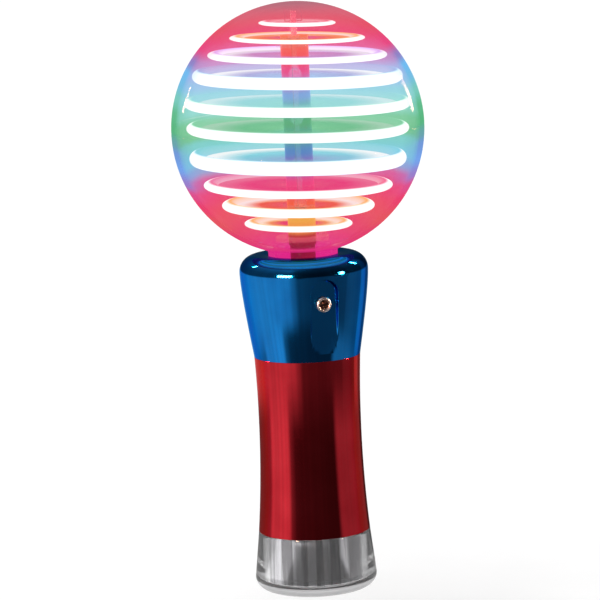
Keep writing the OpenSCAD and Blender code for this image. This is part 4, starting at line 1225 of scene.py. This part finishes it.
def smooth_route(stops, steps=10):
    """Cubics between the stops, with half the step between its neighbours as the slope at each stop."""
    p = np.concatenate([stops[:1], stops, stops[-1:]])
    t = np.linspace(0, 1, steps, endpoint=False)[None, :, None]
    a, b, c, d = (p[i:len(p) - 3 + i, None] for i in range(4))
    bend, twist = 2 * a - 5 * b + 4 * c - d, 3 * b - a - 3 * c + d
    run = b + (c - a) * t / 2 + bend * t ** 2 / 2 + twist * t ** 3 / 2
    return np.concatenate([run.reshape(-1, 3), stops[-1:]])


strip_end, left_cell = around(14.079, 45), around(cell_pitch, 210)
frame_top, cradle_z, bay_z, chamber_z = 63.7, 70.0, 81.5, 103.0
low_level, high_level, terminal_end = frame_top + 1.2, cradle_z - 1.6, cradle_z + 0.4
mid_level = (low_level + high_level) / 2
board_lead_y, notch_lead_y, lead_x = 11.4, 12.8, 12.4995
supply = np.array([
    [*left_cell, frame_top - 2.2], [*left_cell, frame_top - 0.8],
    [left_cell[0], left_cell[1] + 1, frame_top + 1.3], [-6.4, 1, low_level + 0.4],
    [-2.6, 8.6, low_level + 0.6], [-1.5, notch_lead_y, cradle_z - 0.6], [-1.5, notch_lead_y, cradle_z + 4],
    [-1.5, notch_lead_y, bay_z - 1], [-1.5, board_lead_y, bay_z + 3.5],
])
switched = np.array([
    [1.5, board_lead_y, bay_z + 3.5], [1.5, notch_lead_y, bay_z - 1], [1.5, notch_lead_y, cradle_z + 4],
    [1.5, notch_lead_y, cradle_z - 0.6], [0.8, 8.6, mid_level], [-3, 3.4, mid_level],
    [-5, 0.9, terminal_end - 1.4], [-5, 0.9, terminal_end],
])
returning = np.array([
    [*strip_end, frame_top + 0.8], [7.6, 6.5, mid_level], [5.8, 3, mid_level],
    [5, 0.9, terminal_end - 1.4], [5, 0.9, terminal_end],
])
to_brush = np.array([
    [5, -0.9, terminal_end], [5.1, -0.9, terminal_end - 1], [6.8, -0.7, high_level],
    [lead_x - 1.4, 0, high_level], [lead_x, 0, cradle_z], [lead_x, 0, cradle_z + 4],
    [lead_x, 0, chamber_z - 8], [lead_x, 0, chamber_z - 0.6], [lead_x - 1, 0, chamber_z + 1.2],
    [8.4, 0, chamber_z + 1.05],
])
for name, routes, node in (("leads_cells", [supply, switched, returning], "battery_leads"),
                           ("leads_brushes", [to_brush, to_brush * [-1, 1, 1]], "brush_leads")):
    leads = wire_piece(name, [smooth_route(route) for route in routes], lead_r, lead_steady)
    fit(leads, "handle", "lead_jacket", inner["lead_jacket"], node=node)

# %% [markdown]
# The stage is a pale floor that keeps the wand's shadow. It lies lower than the wand, at the depth that
# the tail cap reaches when it is pulled off, so the cap then stands on it. Where the camera sees the floor
# directly, a little light of its own makes it white.

# %% Floor
scene.view_settings.view_transform = "Standard"
floor_z, floor_half = -0.0302, 20


def stage_piece(name, points, faces, material):
    """An object of the stage, in metres."""
    made = show(name, bare_mesh(name, points, faces))
    made.data.materials.append(material)
    return made


floor_finish, tree, shader = new_finish("pale_floor", {
    "Roughness": 0.9, "Specular IOR Level": 0.0, "Emission Color": (1, 1, 1, 1),
})
seen = add(tree, "LightPath").outputs["Is Camera Ray"]
feed(shader, {"Base Color": mottle(tree, 30, (0.88, 0.88, 0.88), (0.90, 0.90, 0.90)),
              "Emission Strength": spread(tree, seen, 0.0, 0.12)})
floor_points = floor_half * np.array([[-1, -1, 0], [1, -1, 0], [1, 1, 0], [-1, 1, 0]]) + [0, 0, floor_z]
stage_piece("floor", floor_points, np.array([[0, 1, 2, 3]]), floor_finish)
print("floor height in mm:", round(floor_z / MM, 2))

# %% [markdown]
# Mirror-like shells show whatever stands round them, so in a studio they are ringed with pale and dark
# cards, and the pale cards become the long bright stripes. The ring of cards here is seen by reflections
# alone: it shades nothing. A ramp over the angle round the wand sets how pale each card is, with one ramp
# for the low cards, which the sleeve mirrors, and one for the high cards, which the collar mirrors.

# %% Ring of cards
cards_r, cards_in, cards_low, cards_mid, cards_high = 0.13, 0.022, 0.0005, 0.1, 0.30
low_to, high_from = 0.033, 0.048
low_cards = [(-180, 0.30), (-150, 0.30), (-98, 0.48), (-92, 1.00), (-50, 1.05), (-44, 0.30), (-34, 0.10),
             (-26, 0.08), (50, 0.05), (57, 0.50), (135, 0.45), (145, 0.08), (180, 0.30)]
high_cards = [(-180, 0.75), (-150, 1.00), (-70, 0.90), (-28, 0.85), (-10, 0.18), (30, 0.14), (74, 0.17),
              (82, 0.28), (114, 0.28), (119, 0.85), (130, 0.80), (140, 0.20), (180, 0.75)]


def card_ramp(tree, turn, stops):
    """Paleness of the cards by angle from the camera's side, where -180 to 180 degrees is 0 to 1."""
    return greys(tree, turn, [((angle + 180) / 360, pale) for angle, pale in stops])


def mirror_card(name, grid, finish, closed=True):
    """A card that is seen only in reflections and through clear plastic."""
    faces = grid_faces(*grid.shape[:2], False, closed).reshape(-1, 4)
    card = stage_piece(name, grid.reshape(-1, 3), faces, finish)
    card.visible_camera = card.visible_diffuse = card.visible_shadow = card.visible_volume_scatter = False


card_finish, tree, shader = new_finish("cards", {
    "Base Color": (0, 0, 0, 1), "Roughness": 1.0, "Specular IOR Level": 0.0, "Emission Color": (1, 1, 1, 1),
})
spot = add(tree, "Mapping", {"Vector": place(tree), "Rotation": (0, 0, -view_turn)}).outputs["Vector"]
spot = add(tree, "SeparateXYZ", {"Vector": spot}).outputs
turn = calc(tree, "ARCTAN2", spot["X"], times(tree, spot["Y"], -1.0))
turn = range_share(tree, turn, -math.pi, math.pi)
rise = range_share(tree, spot["Z"], low_to, high_from, interpolation_type="SMOOTHSTEP")
pale = spread(tree, rise, card_ramp(tree, turn, low_cards), card_ramp(tree, turn, high_cards))
pale = times(tree, pale, spread(tree, speckle(tree, 90, 3.0, (1, 1, 0.06)), 0.7, 1.25))
dusk = greys(tree, range_share(tree, spot["Z"], 0.0, cards_high), [
    (0.33, 1.0), (0.36, 0.14), (0.50, 0.16), (0.75, 0.4), (1.0, 0.25),
])
feed(shader, {"Emission Strength": times(tree, pale, dusk)})
card_outline = [[cards_in, cards_low], [cards_r, cards_low], [cards_r, cards_mid], [cards_r, cards_high]]
mirror_card("ring_of_cards", turned(np.array(card_outline), 180), card_finish)
print("low cards:", len(low_cards), "high cards:", len(high_cards))

# %% [markdown]
# A pale card under the foot and a dim lid close the ring. Four small bright panels leave the glints on the
# collar's shoulder and on the globe. They are warm, because the blue lacquer takes most of the red out of
# what it mirrors, and they go dark for light that has already been scattered, which keeps bright specks
# off the floor.

# %% Foot card, lid and light panels
panel_r, panel_steps = 0.95 * cards_r, 13
light_panels = [(-44, -20, 0.112, 0.136), (60, 70, 0.110, 0.132), (-115, -111, 0.172, 0.202),
                (111, 116, 0.164, 0.204)]
for name, hole_r, disc_r, z, scale, dim, bright in (
    ("foot_card", 0.00001, 0.021, -0.0001, 300, 0.6, 0.95),
    ("card_lid", 0.0001, cards_r, cards_high, 25, 0.0, 0.55),
):
    finish, tree, shader = new_finish(name, {"Base Color": (0, 0, 0, 1), "Emission Color": (1, 1, 1, 1)})
    feed(shader, {"Emission Strength": spread(tree, speckle(tree, scale), dim, bright)})
    mirror_card(name, turned(np.array([[hole_r, z], [disc_r, z]]), 90), finish)

panel_finish, tree, shader = new_finish("light_panels", {
    "Base Color": (0, 0, 0, 1), "Emission Color": (1, 0.5, 0.33, 1),
})
bounces = add(tree, "LightPath").outputs["Diffuse Depth"]
unscattered = calc(tree, "SUBTRACT", 1.0, bounces, use_clamp=True)
strength = spread(tree, speckle(tree, 20), 85, 105)
feed(shader, {"Emission Strength": times(tree, strength, unscattered)})
for number, (first, last, low, high) in enumerate(light_panels):
    a = np.radians(np.linspace(first, last, panel_steps)) + view_turn
    edge = panel_r * np.stack([np.sin(a), -np.cos(a)], axis=1)
    panel = np.stack([np.column_stack([edge, np.full(panel_steps, z)]) for z in (low, high)])
    mirror_card(f"light_panel_{number}", panel, panel_finish, closed=False)
print("light panels:", len(light_panels))

# %% [markdown]
# The light is an even white sky and one soft sun, both at a plain level, so that a colour looks about as it
# is written. The sky is a little dimmer as a light than as a background, and mirrors and clear plastic
# show the background.

# %% Sky and sun
sky_light, sky_shown = 0.78, 1.0
sun_data = bpy.data.lights.new("soft_sun", "SUN")
sun_data.energy, sun_data.angle = 1.0, math.radians(40)
sun = show("soft_sun", sun_data)
sun.rotation_euler = (math.radians(30), math.radians(-12), math.radians(-20))

world = bpy.data.worlds.new("white_sky")
scene.world = world
world.use_nodes = True
tree = world.node_tree
sky = tree.nodes["Background"]
sky.inputs["Color"].default_value = (1, 1, 1, 1)
ray = add(tree, "LightPath").outputs
shown = ray["Is Camera Ray"]
for kind in ("Is Glossy Ray", "Is Transmission Ray"):
    shown = calc(tree, "MAXIMUM", shown, ray[kind])
feed(sky, {"Strength": spread(tree, shown, sky_light, sky_shown)})
print("sky and sun are set")
